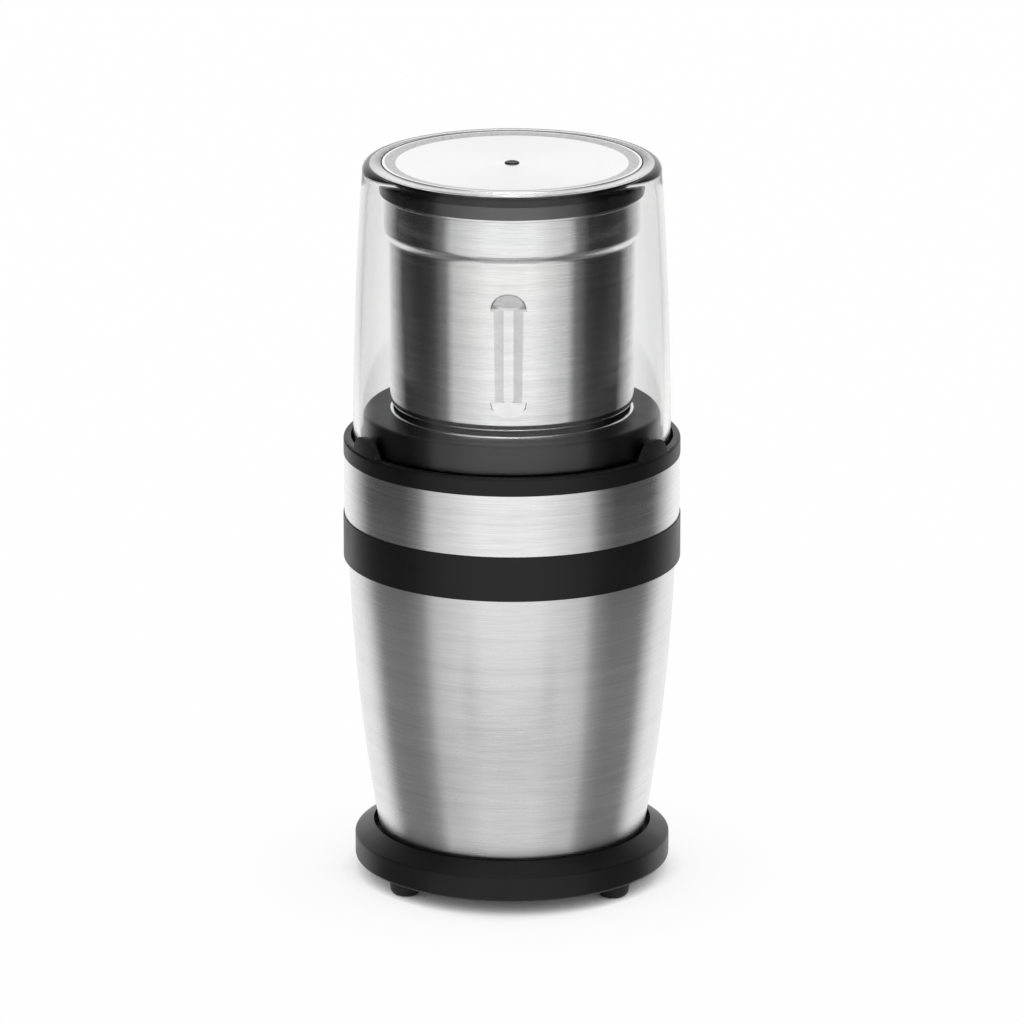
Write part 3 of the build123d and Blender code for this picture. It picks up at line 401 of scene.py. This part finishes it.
def greys(stops):
    """Ramp stops from pairs of place and tone."""
    return [(place, grey(tone)) for place, tone in stops]


def ramp(tree, factor, stops):
    """Colour ramp with stops of place and colour."""
    node = add(tree, "ShaderNodeValToRGB")
    elements = node.color_ramp.elements
    while len(elements) < len(stops):
        elements.new(0.5)
    for element, (place, colour) in zip(elements, stops):
        element.position = place
        element.color = (*colour, 1.0)
    tree.links.new(factor, node.inputs["Fac"])
    return node.outputs["Color"]


def spread(tree, factor, low, high):
    """Noise factor mapped to a range."""
    node = add(tree, "ShaderNodeMapRange", From_Min=NOISE_LOW, From_Max=NOISE_HIGH, To_Min=low, To_Max=high)
    tree.links.new(factor, node.inputs["Value"])
    return node.outputs["Result"]


def noise(tree, vector, scale, detail=2.0, roughness=0.5):
    node = add(tree, "ShaderNodeTexNoise", Scale=scale, Detail=detail, Roughness=roughness)
    tree.links.new(vector, node.inputs["Vector"])
    return node.outputs["Fac"]


def object_point(tree):
    return add(tree, "ShaderNodeTexCoord").outputs["Object"]


def turned_point(tree, stretch):
    """Coordinates in which lines run round the axis: radius, height and a slow turn."""
    split = add(tree, "ShaderNodeSeparateXYZ")
    tree.links.new(object_point(tree), split.inputs[0])
    x, y, z = split.outputs
    square = calc(tree, "ADD", calc(tree, "MULTIPLY", x, x), calc(tree, "MULTIPLY", y, y))
    radius = calc(tree, "SQRT", square)
    turn = calc(tree, "MULTIPLY", calc(tree, "SINE", calc(tree, "ARCTAN2", x, y)), stretch)
    join = add(tree, "ShaderNodeCombineXYZ")
    for socket, value in zip(join.inputs, (radius, z, turn)):
        tree.links.new(value, socket)
    return join.outputs[0]


def vary(tree, shader, factor, stops, rough):
    """Colour and roughness that follow one factor."""
    tree.links.new(ramp(tree, factor, stops), shader.inputs["Base Color"])
    tree.links.new(spread(tree, factor, *rough), shader.inputs["Roughness"])


def bump(tree, shader, height, strength, distance):
    node = add(tree, "ShaderNodeBump", Strength=strength, Distance=distance)
    tree.links.new(height, node.inputs["Height"])
    tree.links.new(node.outputs[0], shader.inputs["Normal"])


# Finishes

def brushed(name, dark, light, rough, lines, anisotropic, relief):
    """Metal with fine lines round the axis and reflections drawn out across them."""
    material, tree, shader = new_material(name)
    point = turned_point(tree, LINE_RUN)
    fine = noise(tree, point, lines, detail=3.0, roughness=0.65)
    broad = noise(tree, point, lines / LINES_PER_STREAK)
    fine_part = calc(tree, "MULTIPLY", fine, LINE_SHARE)
    both = calc(tree, "ADD", fine_part, calc(tree, "MULTIPLY", broad, 1 - LINE_SHARE))
    vary(tree, shader, both, greys([(0.32, dark), (0.68, light)]), rough)
    shader.inputs["Metallic"].default_value = 1.0
    shader.inputs["Anisotropic"].default_value = anisotropic
    shader.inputs["Anisotropic Rotation"].default_value = LINE_TURN
    tangent = add(tree, "ShaderNodeTangent", direction_type="RADIAL", axis="Z")
    tree.links.new(tangent.outputs[0], shader.inputs["Tangent"])
    bump(tree, shader, fine, relief, LINE_HEIGHT)
    return material


def moulded(name, dark, light, rough, specular, grain, relief):
    """Moulded plastic or rubber with a fine spark grain and a slow change of gloss."""
    material, tree, shader = new_material(name)
    point = object_point(tree)
    spark = noise(tree, point, grain, detail=3.0, roughness=0.6)
    cloud = noise(tree, point, grain / GRAINS_PER_CLOUD, detail=3.0)
    vary(tree, shader, cloud, greys([(0.35, dark), (0.65, light)]), rough)
    shader.inputs["Specular IOR Level"].default_value = specular
    bump(tree, shader, spark, relief, GRAIN_HEIGHT)
    return material


def mottled(name, dark, light, rough, scale, relief):
    """Plated or cast metal with a mottled surface, or darker mottled steel as painted shade."""
    material, tree, shader = new_material(name)
    mottle = noise(tree, object_point(tree), scale, detail=4.0, roughness=0.6)
    vary(tree, shader, mottle, [(0.3, dark), (0.7, light)], rough)
    shader.inputs["Metallic"].default_value = 1.0
    bump(tree, shader, mottle, relief, MOTTLE_HEIGHT)
    return material


def layered(name, dark, light, rough, pitch, relief):
    """Stacked sheet or wound wire: level lines at an even pitch, rough where dark."""
    material, tree, shader = new_material(name)
    wave = add(tree, "ShaderNodeTexWave", wave_type="BANDS", bands_direction="Z", Distortion=0.4)
    wave.inputs["Scale"].default_value = 1 / (pitch * WAVE_STRETCH)
    tree.links.new(object_point(tree), wave.inputs["Vector"])
    vary(tree, shader, wave.outputs["Fac"], [(0.1, dark), (0.6, light)], rough)
    shader.inputs["Metallic"].default_value = 1.0
    bump(tree, shader, wave.outputs["Fac"], relief, pitch / 4)
    return material


def clear(name):
    """Clear moulded plastic with faint flow and polishing marks."""
    material, tree, shader = new_material(name)
    haze = noise(tree, object_point(tree), scale=90.0, detail=3.0)
    tree.links.new(spread(tree, haze, low=0.0, high=0.03), shader.inputs["Roughness"])
    flow = noise(tree, turned_point(tree, stretch=0.02), scale=60.0)
    tint = ramp(tree, flow, [(0.3, (0.975, 0.98, 0.98)), (0.7, (0.99, 0.99, 0.985))])
    tree.links.new(tint, shader.inputs["Base Color"])
    shader.inputs["Transmission Weight"].default_value = 1.0
    shader.inputs["IOR"].default_value = LID_REFRACTION
    shader.inputs["Specular Tint"].default_value = (*grey(LID_GLOSS), 1)
    depth = add(tree, "ShaderNodeVolumeAbsorption", Color=(0, 0, 0, 1), Density=LID_GREY)
    tree.links.new(depth.outputs[0], tree.nodes["Material Output"].inputs["Volume"])
    bump(tree, shader, flow, strength=0.02, distance=FLOW_HEIGHT)
    return material


finishes = {
    "clear_plastic": clear("clear_plastic"),
    "black_plastic": moulded("black_plastic", dark=0.004, light=0.006, rough=(0.34, 0.42),
                             specular=0.32, grain=5200.0, relief=0.02),
    "matt_plastic": moulded("matt_plastic", dark=0.003, light=0.004, rough=(0.50, 0.60),
                            specular=0.10, grain=5200.0, relief=0.04),
    "satin_steel": brushed("satin_steel", dark=0.71, light=0.93, rough=(0.20, 0.30),
                           lines=2600.0, anisotropic=0.75, relief=0.04),
    # Darker copy of the satin steel for the lower shell, painted shade.
    "painted_shade_shell_steel": brushed("painted_shade_shell_steel", dark=0.65, light=0.82, rough=(0.20, 0.30),
                           lines=2600.0, anisotropic=0.75, relief=0.04),
    # Lighter steel: the plate's own finish, and a painted highlight on the lower half-moons of the flutes.
    "bright_steel_and_painted_highlight": brushed("bright_steel_and_painted_highlight", dark=0.90, light=0.94, rough=(0.16, 0.22),
                            lines=2600.0, anisotropic=0.5, relief=0.03),
    # Darker mottled steel, painted shade on the slope of the plate.
    "painted_shade_steel": mottled("painted_shade_steel", dark=grey(0.48), light=grey(0.80), rough=(0.32, 0.45),
                             scale=900.0, relief=0.12),
    "polished_steel": brushed("polished_steel", dark=0.73, light=0.98, rough=(0.09, 0.15),
                              lines=3200.0, anisotropic=0.55, relief=0.015),
    "silicone": moulded("silicone", dark=0.006, light=0.009, rough=(0.50, 0.62),
                        specular=0.30, grain=2600.0, relief=0.16),
    "gloss_silicone": moulded("gloss_silicone", dark=0.010, light=0.014, rough=(0.16, 0.24),
                              specular=1.0, grain=2600.0, relief=0.02),
    "zinc_steel": mottled("zinc_steel", dark=grey(0.52), light=grey(0.66), rough=(0.30, 0.42),
                          scale=900.0, relief=0.10),
    "lamination": layered("lamination", dark=grey(0.10), light=grey(0.28), rough=(0.6, 0.45),
                          pitch=0.0005, relief=0.5),
    "copper": layered("copper", dark=(0.30, 0.11, 0.04), light=(0.72, 0.36, 0.18), rough=(0.45, 0.28),
                      pitch=0.0006, relief=0.5),
    "bronze": mottled("bronze", dark=(0.48, 0.31, 0.13), light=(0.64, 0.45, 0.22), rough=(0.35, 0.5),
                      scale=2500.0, relief=0.2),
    "cast_aluminium": mottled("cast_aluminium", dark=grey(0.58), light=grey(0.70), rough=(0.42, 0.56),
                              scale=1400.0, relief=0.3),
    "carbon": moulded("carbon", dark=0.02, light=0.035, rough=(0.5, 0.65),
                      specular=0.4, grain=1800.0, relief=0.2),
}
# Painted shade: the lower shell gets the darker copy of the satin steel.
own_finish = {"lower_shell": "painted_shade_shell_steel"}

for name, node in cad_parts.items():
    for material_slot in node.material_slots:
        slot = material_slot.material.name.split(".")[0]
        material_slot.material = finishes[own_finish.get(name, slot)]


# Lid

def lid_shell_piece():
    """Clear shell with a bowed wall, a round corner and a bright ring under its lip."""
    z_corner = Z_TOP - LID_CORNER
    outer = bow((LID_RIM_R, Z_LID_RIM), (LID_SHOULDER_R, z_corner), LID_BULGE)
    corner = arc((LID_SHOULDER_R - LID_CORNER, z_corner), LID_CORNER, 0, 90)
    lip = [(LIP_R, Z_TOP), (LIP_R, Z_LIP), (LID_BORE_R, Z_LIP)]
    inner = bow((LID_BORE_R, Z_CAP), (LID_RIM_R - LID_WALL, Z_LID_RIM), LID_BULGE)
    outline = soften(outer + corner[1:] + lip + inner, LID_EDGE)
    piece = lathe("lid_shell", outline, "lid", "clear_plastic", ["clear_lid"])

    def under_lip(r, z, _):
        return LIP_R < r < LID_BORE_R and abs(z - Z_LIP) < FOIL_REACH

    second_finish(piece, "bright_steel_and_painted_highlight", under_lip)


def cap_piece():
    """Black cap that holds the plate, with a brim out to the wall of the lid."""
    pocket_r = DISH_R - CAP_STEP
    z_web = Z_DISH - CAP_WEB
    brim_r = LID_BORE_R - CAP_FIT
    z_brim = Z_LIP - CAP_FIT
    outline = [(0, z_web), (pocket_r, z_web), (pocket_r, Z_CAP), (CAP_R, Z_CAP),
               (CAP_R, z_brim - CAP_BRIM), (brim_r, z_brim - CAP_BRIM), (brim_r, z_brim),
               (PLATE_R, z_brim), (PLATE_R, Z_PLATE), (SLOPE_R, Z_PLATE), (DISH_R, Z_DISH), (0, Z_DISH)]
    lathe("lid_cap_piece", soften(outline, CAP_EDGE, closed=False), "lid", "black_plastic", ["lid_cap"],
          closed=False, finish="matt_plastic")


def plate_piece():
    """Dished steel plate whose slope gets a darker mottled steel, a painted shade ring."""
    ring_r = DISH_R + DISH_BRIGHT
    z_ring = Z_DISH_TOP + DISH_DROP * DISH_BRIGHT / DISH_SLOPE
    outline = [(0, Z_DISH_UNDER), (DISH_R, Z_DISH), (SLOPE_R, Z_PLATE), (PLATE_R, Z_PLATE),
               (PLATE_R, Z_TOP), (SLOPE_R, Z_TOP), (ring_r, z_ring), (DISH_R, Z_DISH_TOP), (0, Z_DISH_TOP)]
    piece = lathe("lid_plate", soften(outline, PLATE_EDGE, closed=False), "lid", "satin_steel",
                  ["lid_top_plate"], closed=False, finish="bright_steel_and_painted_highlight")

    def painted_shade_slope(r, *_):
        return ring_r < r < SLOPE_R

    # Painted shade: the outer part of the slope gets the darker mottled steel.
    second_finish(piece, "painted_shade_steel", painted_shade_slope)


def stud_piece():
    """Centre stud with a dimple in its head."""
    head_r, z_foot, z_head = span("lid_centre_stud")
    shank_r = head_r * STUD_SHANK_SHARE
    outline = [(0, z_head - STUD_DIMPLE), (head_r * STUD_DIMPLE_SHARE, z_head - STUD_DIMPLE_SIDE),
               (head_r * STUD_CROWN_SHARE, z_head), (head_r - STUD_CHAMFER, z_head),
               (head_r, z_head - STUD_CHAMFER_DROP), (head_r, Z_DISH_TOP), (shank_r, Z_DISH_TOP),
               (shank_r, z_foot), (0, z_foot)]
    lathe("lid_stud", soften(outline, STUD_EDGE, closed=False), "lid", "black_plastic",
          ["lid_centre_stud"], closed=False)


def seal_piece():
    """Silicone ring between cup and cap."""
    seal_r, z_foot, z_top = span("lid_seal")
    plug_r = CUP_TOP_R - CUP_T - SEAL_CLEAR
    bore_r = plug_r - SEAL_PLUG
    outline = [(bore_r, z_foot), (bore_r + SEAL_PLUG / 2, z_foot), (plug_r, Z_CUP_RIM - SEAL_DROP / 2),
               (plug_r, Z_CUP_RIM), (seal_r, Z_CUP_RIM), (seal_r, z_top), (bore_r, z_top)]
    piece = lathe("seal_ring", soften(outline, SEAL_EDGE), "seal", "silicone", ["lid_seal"],
                  finish="gloss_silicone")
    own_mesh(piece)


# Cup

def flute_radius(angle, r, z, inset):
    """Radius of the pressed wall: a flat floor, sloping sides and a half-moon ramp at each end."""
    pitch = 2 * pi / FLUTE_COUNT
    off = (angle + pi / 2 + pitch / 2) % pitch - pitch / 2
    if abs(off) > pitch / 6:
        return r
    slope = tan(radians(FLUTE_SLOPE))
    across = abs(r * sin(off))
    along = max(Z_FLUTE_LOW - z, z - Z_FLUTE_HIGH)
    if along < 0:
        depth = FLUTE_DEPTH - max(across - FLUTE_FLOOR_W / 2, 0.0) * slope
    else:
        edge = MOON_R - hypot(across, along * MOON_R / FLUTE_END)
        taper = MOON_TAPER if z < Z_FLUTE_LOW else 0.0
        depth = min((FLUTE_END - hypot(along, across * taper)) * slope, edge * MOON_EDGE)
    pressed = (CUP_WALL_R - inset - depth) / cos(off)
    gap = r - pressed
    return r - (gap + hypot(gap, FLUTE_ROLL)) / 2


def cup_angles():
    """Angles round the cup in radians, close together across each flute."""
    pitch = 360 / FLUTE_COUNT
    angles = []
    for i in range(360 * CUP_DEGREE_STEPS):
        degree = i / CUP_DEGREE_STEPS
        off = (degree + 90 + pitch / 2) % pitch - pitch / 2
        if abs(off) < FLUTE_FINE or i % CUP_TURN_SKIP == 0:
            angles.append(radians(degree))
    return angles


def cup_wall(inset):
    """Drafted wall, with rows close together at the ends of the flutes."""
    line = []
    for i in range(CUP_ROWS + 1):
        t = i / CUP_ROWS
        z = Z_CUP_CORNER + (Z_CUP_WAIST - Z_CUP_CORNER) * t
        at_end = z < Z_FLUTE_LOW + FLUTE_MARGIN or z > Z_FLUTE_HIGH - FLUTE_MARGIN
        if at_end or i % CUP_ROW_SKIP == 0:
            line.append((CUP_FOOT_R - inset + CUP_DRAFT * t, z))
    return line


def cup_side(inset):
    """Floor, corner, wall and rolled shoulder, set in from the outer skin."""
    floor = [(CUP_BORE_R, Z_CUP + inset), (CUP_FLOOR_R, Z_CUP + inset)]
    corner = arc((CUP_FOOT_R - CUP_CORNER, Z_CUP_CORNER), CUP_CORNER - inset, -90, 0, CORNER_STEPS)
    z_roll = Z_CUP_WAIST + (CUP_SHOULDER - CUP_ROLL) / 2
    shoulder = []
    for i in range(ROLL_STEPS + 1):
        t = i / ROLL_STEPS
        flare = CUP_STEP * (1 - cos(pi * t)) / 2
        shoulder.append((CUP_WAIST_R - inset + flare, z_roll + CUP_ROLL * t))
    shoulder.append((CUP_TOP_R - inset, Z_CUP_COLLAR + CUP_SHOULDER / 2))
    return floor + corner + cup_wall(inset)[1:] + shoulder


def cup_rim():
    """Bead, from the outer skin over the rim to the inner skin."""
    in_r = CUP_TOP_R - CUP_T
    z_bead = Z_CUP_RIM - CUP_BEAD_H
    outline = [(CUP_TOP_R, Z_CUP_COLLAR), (CUP_TOP_R, z_bead), (CUP_BEAD_R, z_bead),
               (CUP_BEAD_R, Z_CUP_RIM), (in_r, Z_CUP_RIM), (in_r, Z_CUP_COLLAR)]
    return soften(outline, CUP_BEAD_EDGE, closed=False)[1:-1]


def cup_piece():
    """Drawn cup with pressed flutes, whose lower half-moons get a lighter steel as a painted highlight."""
    outline = [(r, z, 0.0) for r, z in cup_side(0.0) + cup_rim()]
    outline += [(r, z, CUP_T) for r, z in cup_side(CUP_T)[::-1]]
    angles = cup_angles()
    bm = bmesh.new()
    rings = []
    for r, z, inset in outline:
        ring = []
        for a in angles:
            in_r = r
            if Z_CUP_CORNER < z < Z_CUP_WAIST:
                in_r = flute_radius(a, r, z, inset)
            ring.append(bm.verts.new((in_r * MM * cos(a), in_r * MM * sin(a), z * MM)))
        rings.append(ring)
    skin(bm, rings, closed=True)
    piece = finish_mesh("cup_body", bm, "cup", "polished_steel", ["cup_shell"])

    def painted_highlight_moon(r, z, outward):
        return outward and r < CUP_FOOT_R - FLUTE_ROLL and Z_CUP_CORNER < z < Z_FLUTE_LOW

    # Painted highlight: the lower half-moons, which face up, get the lighter steel.
    second_finish(piece, "bright_steel_and_painted_highlight", painted_highlight_moon)


# Switch spring

def spring_piece():
    """Coil of round wire."""
    low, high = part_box("return_spring")
    centre = (low + high) / 2
    wire = SPRING_WIRE * MM
    coil_r = (high.x - low.x) / 2 - wire
    z_start = low.z + wire
    rise = high.z - low.z - 2 * wire
    steps = SPRING_STEPS * SPRING_TURNS
    bm = bmesh.new()
    rings = []
    for i in range(steps + 1):
        a = 2 * pi * SPRING_TURNS * i / steps
        out = Vector((cos(a), sin(a), 0))
        middle = Vector((centre.x, centre.y, z_start + rise * i / steps)) + out * coil_r
        ring = []
        for k in range(WIRE_SIDES):
            b = 2 * pi * k / WIRE_SIDES
            ring.append(bm.verts.new(middle + out * (wire * cos(b)) + Vector((0, 0, wire * sin(b)))))
        rings.append(ring)
    skin(bm, rings, closed=False)
    bm.faces.new(rings[0])
    bm.faces.new(rings[-1])
    piece = finish_mesh("switch_spring", bm, "base", "zinc_steel", ["return_spring"])
    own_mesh(piece)


lid_shell_piece()
cap_piece()
plate_piece()
stud_piece()
seal_piece()
cup_piece()
spring_piece()


# Studio

def shown(tree):
    """One for the rays that show the studio to the camera, straight, mirrored or through the lid."""
    path = add(tree, "ShaderNodeLightPath")
    mirrored = calc(tree, "MAXIMUM", path.outputs["Is Camera Ray"], path.outputs["Is Glossy Ray"])
    return calc(tree, "MAXIMUM", mirrored, path.outputs["Is Transmission Ray"])


def studio_world():
    """White walls under a dimmer ceiling."""
    world = bpy.data.worlds.new("studio")
    bpy.context.scene.world = world
    world.use_nodes = True
    tree = world.node_tree
    background = tree.nodes["Background"]
    split = add(tree, "ShaderNodeSeparateXYZ")
    tree.links.new(add(tree, "ShaderNodeTexCoord").outputs["Generated"], split.inputs[0])
    walls = ramp(tree, split.outputs["Z"], greys(WALL_TONES))
    tree.links.new(walls, background.inputs["Color"])
    level = calc(tree, "ADD", calc(tree, "MULTIPLY", shown(tree), 1 - WALL_FILL), WALL_FILL)
    tree.links.new(level, background.inputs["Strength"])


def stage_piece(name, bm, material):
    mesh = bpy.data.meshes.new(name)
    bm.to_mesh(mesh)
    bm.free()
    mesh.materials.append(material)
    piece = bpy.data.objects.new(name, mesh)
    bpy.context.scene.collection.objects.link(piece)
    return piece


def bare_material(name):
    """Material without a shader, its node tree and the socket that its surface goes to."""
    material = bpy.data.materials.new(name)
    material.use_nodes = True
    tree = material.node_tree
    tree.nodes.remove(tree.nodes["Principled BSDF"])
    return material, tree, tree.nodes["Material Output"].inputs["Surface"]


def studio_floor():
    """Pale floor that keeps the shadow, darkest where the object all but touches it."""
    material, tree, surface = bare_material("floor")
    matt = add(tree, "ShaderNodeBsdfDiffuse", Color=(*grey(FLOOR_COLOUR), 1))
    near = add(tree, "ShaderNodeAmbientOcclusion", samples=FLOOR_SAMPLES, Distance=FLOOR_NEAR)
    glow = add(tree, "ShaderNodeEmission")
    tree.links.new(ramp(tree, near.outputs["AO"], greys(FLOOR_TONES)), glow.inputs["Color"])
    mix = add(tree, "ShaderNodeMixShader")
    tree.links.new(calc(tree, "MULTIPLY", shown(tree), FLOOR_GLOW), mix.inputs["Fac"])
    tree.links.new(matt.outputs[0], mix.inputs[1])
    tree.links.new(glow.outputs[0], mix.inputs[2])
    tree.links.new(mix.outputs[0], surface)
    bm = bmesh.new()
    bmesh.ops.create_circle(bm, cap_ends=True, segments=FLOOR_SIDES, radius=FLOOR_R)
    stage_piece("floor", bm, material)


def card_material(name, tones, covers):
    """Dark card with soft edges and tones by height, clear to straight views through the lid."""
    material, tree, surface = bare_material(name)
    split = add(tree, "ShaderNodeSeparateXYZ")
    tree.links.new(object_point(tree), split.inputs[0])
    dark = add(tree, "ShaderNodeEmission")
    tree.links.new(ramp(tree, split.outputs["Z"], greys(tones)), dark.inputs["Color"])
    across = add(tree, "ShaderNodeAttribute", attribute_name="across")
    cover = ramp(tree, across.outputs["Fac"], greys(covers))
    path = add(tree, "ShaderNodeLightPath")
    straight = calc(tree, "LESS_THAN", path.outputs["Glossy Depth"], 0.5)
    through = calc(tree, "MULTIPLY", path.outputs["Is Transmission Ray"], straight)
    seen = calc(tree, "MULTIPLY", cover, calc(tree, "SUBTRACT", 1.0, through))
    mix = add(tree, "ShaderNodeMixShader")
    tree.links.new(seen, mix.inputs["Fac"])
    tree.links.new(add(tree, "ShaderNodeBsdfTransparent").outputs[0], mix.inputs[1])
    tree.links.new(dark.outputs[0], mix.inputs[2])
    tree.links.new(mix.outputs[0], surface)
    return material


def stage_card(name, bm, rows, material):
    """Card through rows of vertices, which the camera sees only mirrored in the object."""
    for low, high in zip(rows, rows[1:]):
        for i in range(len(low) - 1):
            bm.faces.new((low[i], low[i + 1], high[i + 1], high[i]))
    card = stage_piece(name, bm, material)
    card.visible_camera = False
    card.visible_diffuse = False
    card.visible_shadow = False


def card_azimuth(mirrored, reach):
    """Where a ray mirrored by the upright body meets a card; both angles are radians from the front."""
    half = mirrored / 2
    run = CARD_BODY * cos(half)
    away = hypot(run, (reach ** 2 - CARD_BODY ** 2) ** 0.5) - run
    x = CARD_BODY * sin(half) + away * sin(mirrored)
    y = CARD_BODY * cos(half) + away * cos(mirrored)
    return atan2(x, y)


def side_cards():
    """Leaning cards left and right, which draw the dark upright bands on turned steel."""
    material = card_material("side_card", CARD_TONES, CARD_COVER)
    for side in (-1, 1):
        bm = bmesh.new()
        across = bm.verts.layers.float.new("across")
        rows = []
        for reach, height, end in CARD_ROWS:
            row = []
            for i in range(CARD_STEPS + 1):
                t = i / CARD_STEPS
                mirrored = CARD_START + (CARD_MIDDLE - CARD_START) * min(2 * t, 1.0)
                mirrored += (end - CARD_MIDDLE) * max(2 * t - 1, 0.0)
                a = side * card_azimuth(radians(mirrored), reach)
                vert = bm.verts.new((reach * sin(a), -reach * cos(a), height))
                vert[across] = t
                row.append(vert)
            rows.append(row)
        stage_card("side_card", bm, rows, material)


def front_strip():
    """Dark strip on the floor in front, which shades the heads of the flutes."""
    material = card_material("front_strip", [(0.0, STRIP_TONE), (1.0, STRIP_TONE)], STRIP_COVER)
    bm = bmesh.new()
    across = bm.verts.layers.float.new("across")
    rows = []
    for share, _ in STRIP_COVER:
        row = []
        for i in range(STRIP_STEPS + 1):
            x = STRIP_REACH * (2 * i / STRIP_STEPS - 1)
            y = STRIP_NEAR + (STRIP_FAR - STRIP_NEAR) * share + STRIP_BOW * x ** 2
            vert = bm.verts.new((x, -y, STRIP_HEIGHT))
            vert[across] = share
            row.append(vert)
        rows.append(row)
    stage_card("front_strip", bm, rows, material)


def overhead_lamp():
    """Soft light from straight above, not mirrored in the steel."""
    data = bpy.data.lights.new("overhead", "SUN")
    data.energy = LAMP_POWER
    data.angle = radians(LAMP_ANGLE)
    lamp = bpy.data.objects.new("overhead", data)
    lamp.visible_glossy = False
    bpy.context.scene.collection.objects.link(lamp)


def camera():
    """Camera on the middle of the object, at the photograph's angle."""
    low, high = cad_box
    target = Vector((0, 0, (low.z + high.z) / 2))
    a, e = radians(VIEW_AZIMUTH), radians(VIEW_ELEVATION)
    back = Vector((sin(a) * cos(e), -cos(a) * cos(e), sin(e)))
    data = bpy.data.cameras.new("camera")
    data.lens = VIEW_LENS
    data.sensor_width = VIEW_SENSOR
    data.shift_y = VIEW_SHIFT
    eye = bpy.data.objects.new("camera", data)
    eye.location = target + back * VIEW_DISTANCE
    eye.rotation_mode = "QUATERNION"
    eye.rotation_quaternion = (-back).to_track_quat("-Z", "Y")
    bpy.context.scene.collection.objects.link(eye)
    bpy.context.scene.camera = eye


studio_world()
studio_floor()
side_cards()
front_strip()
overhead_lamp()
camera()
bpy.context.scene.view_settings.view_transform = "Standard"
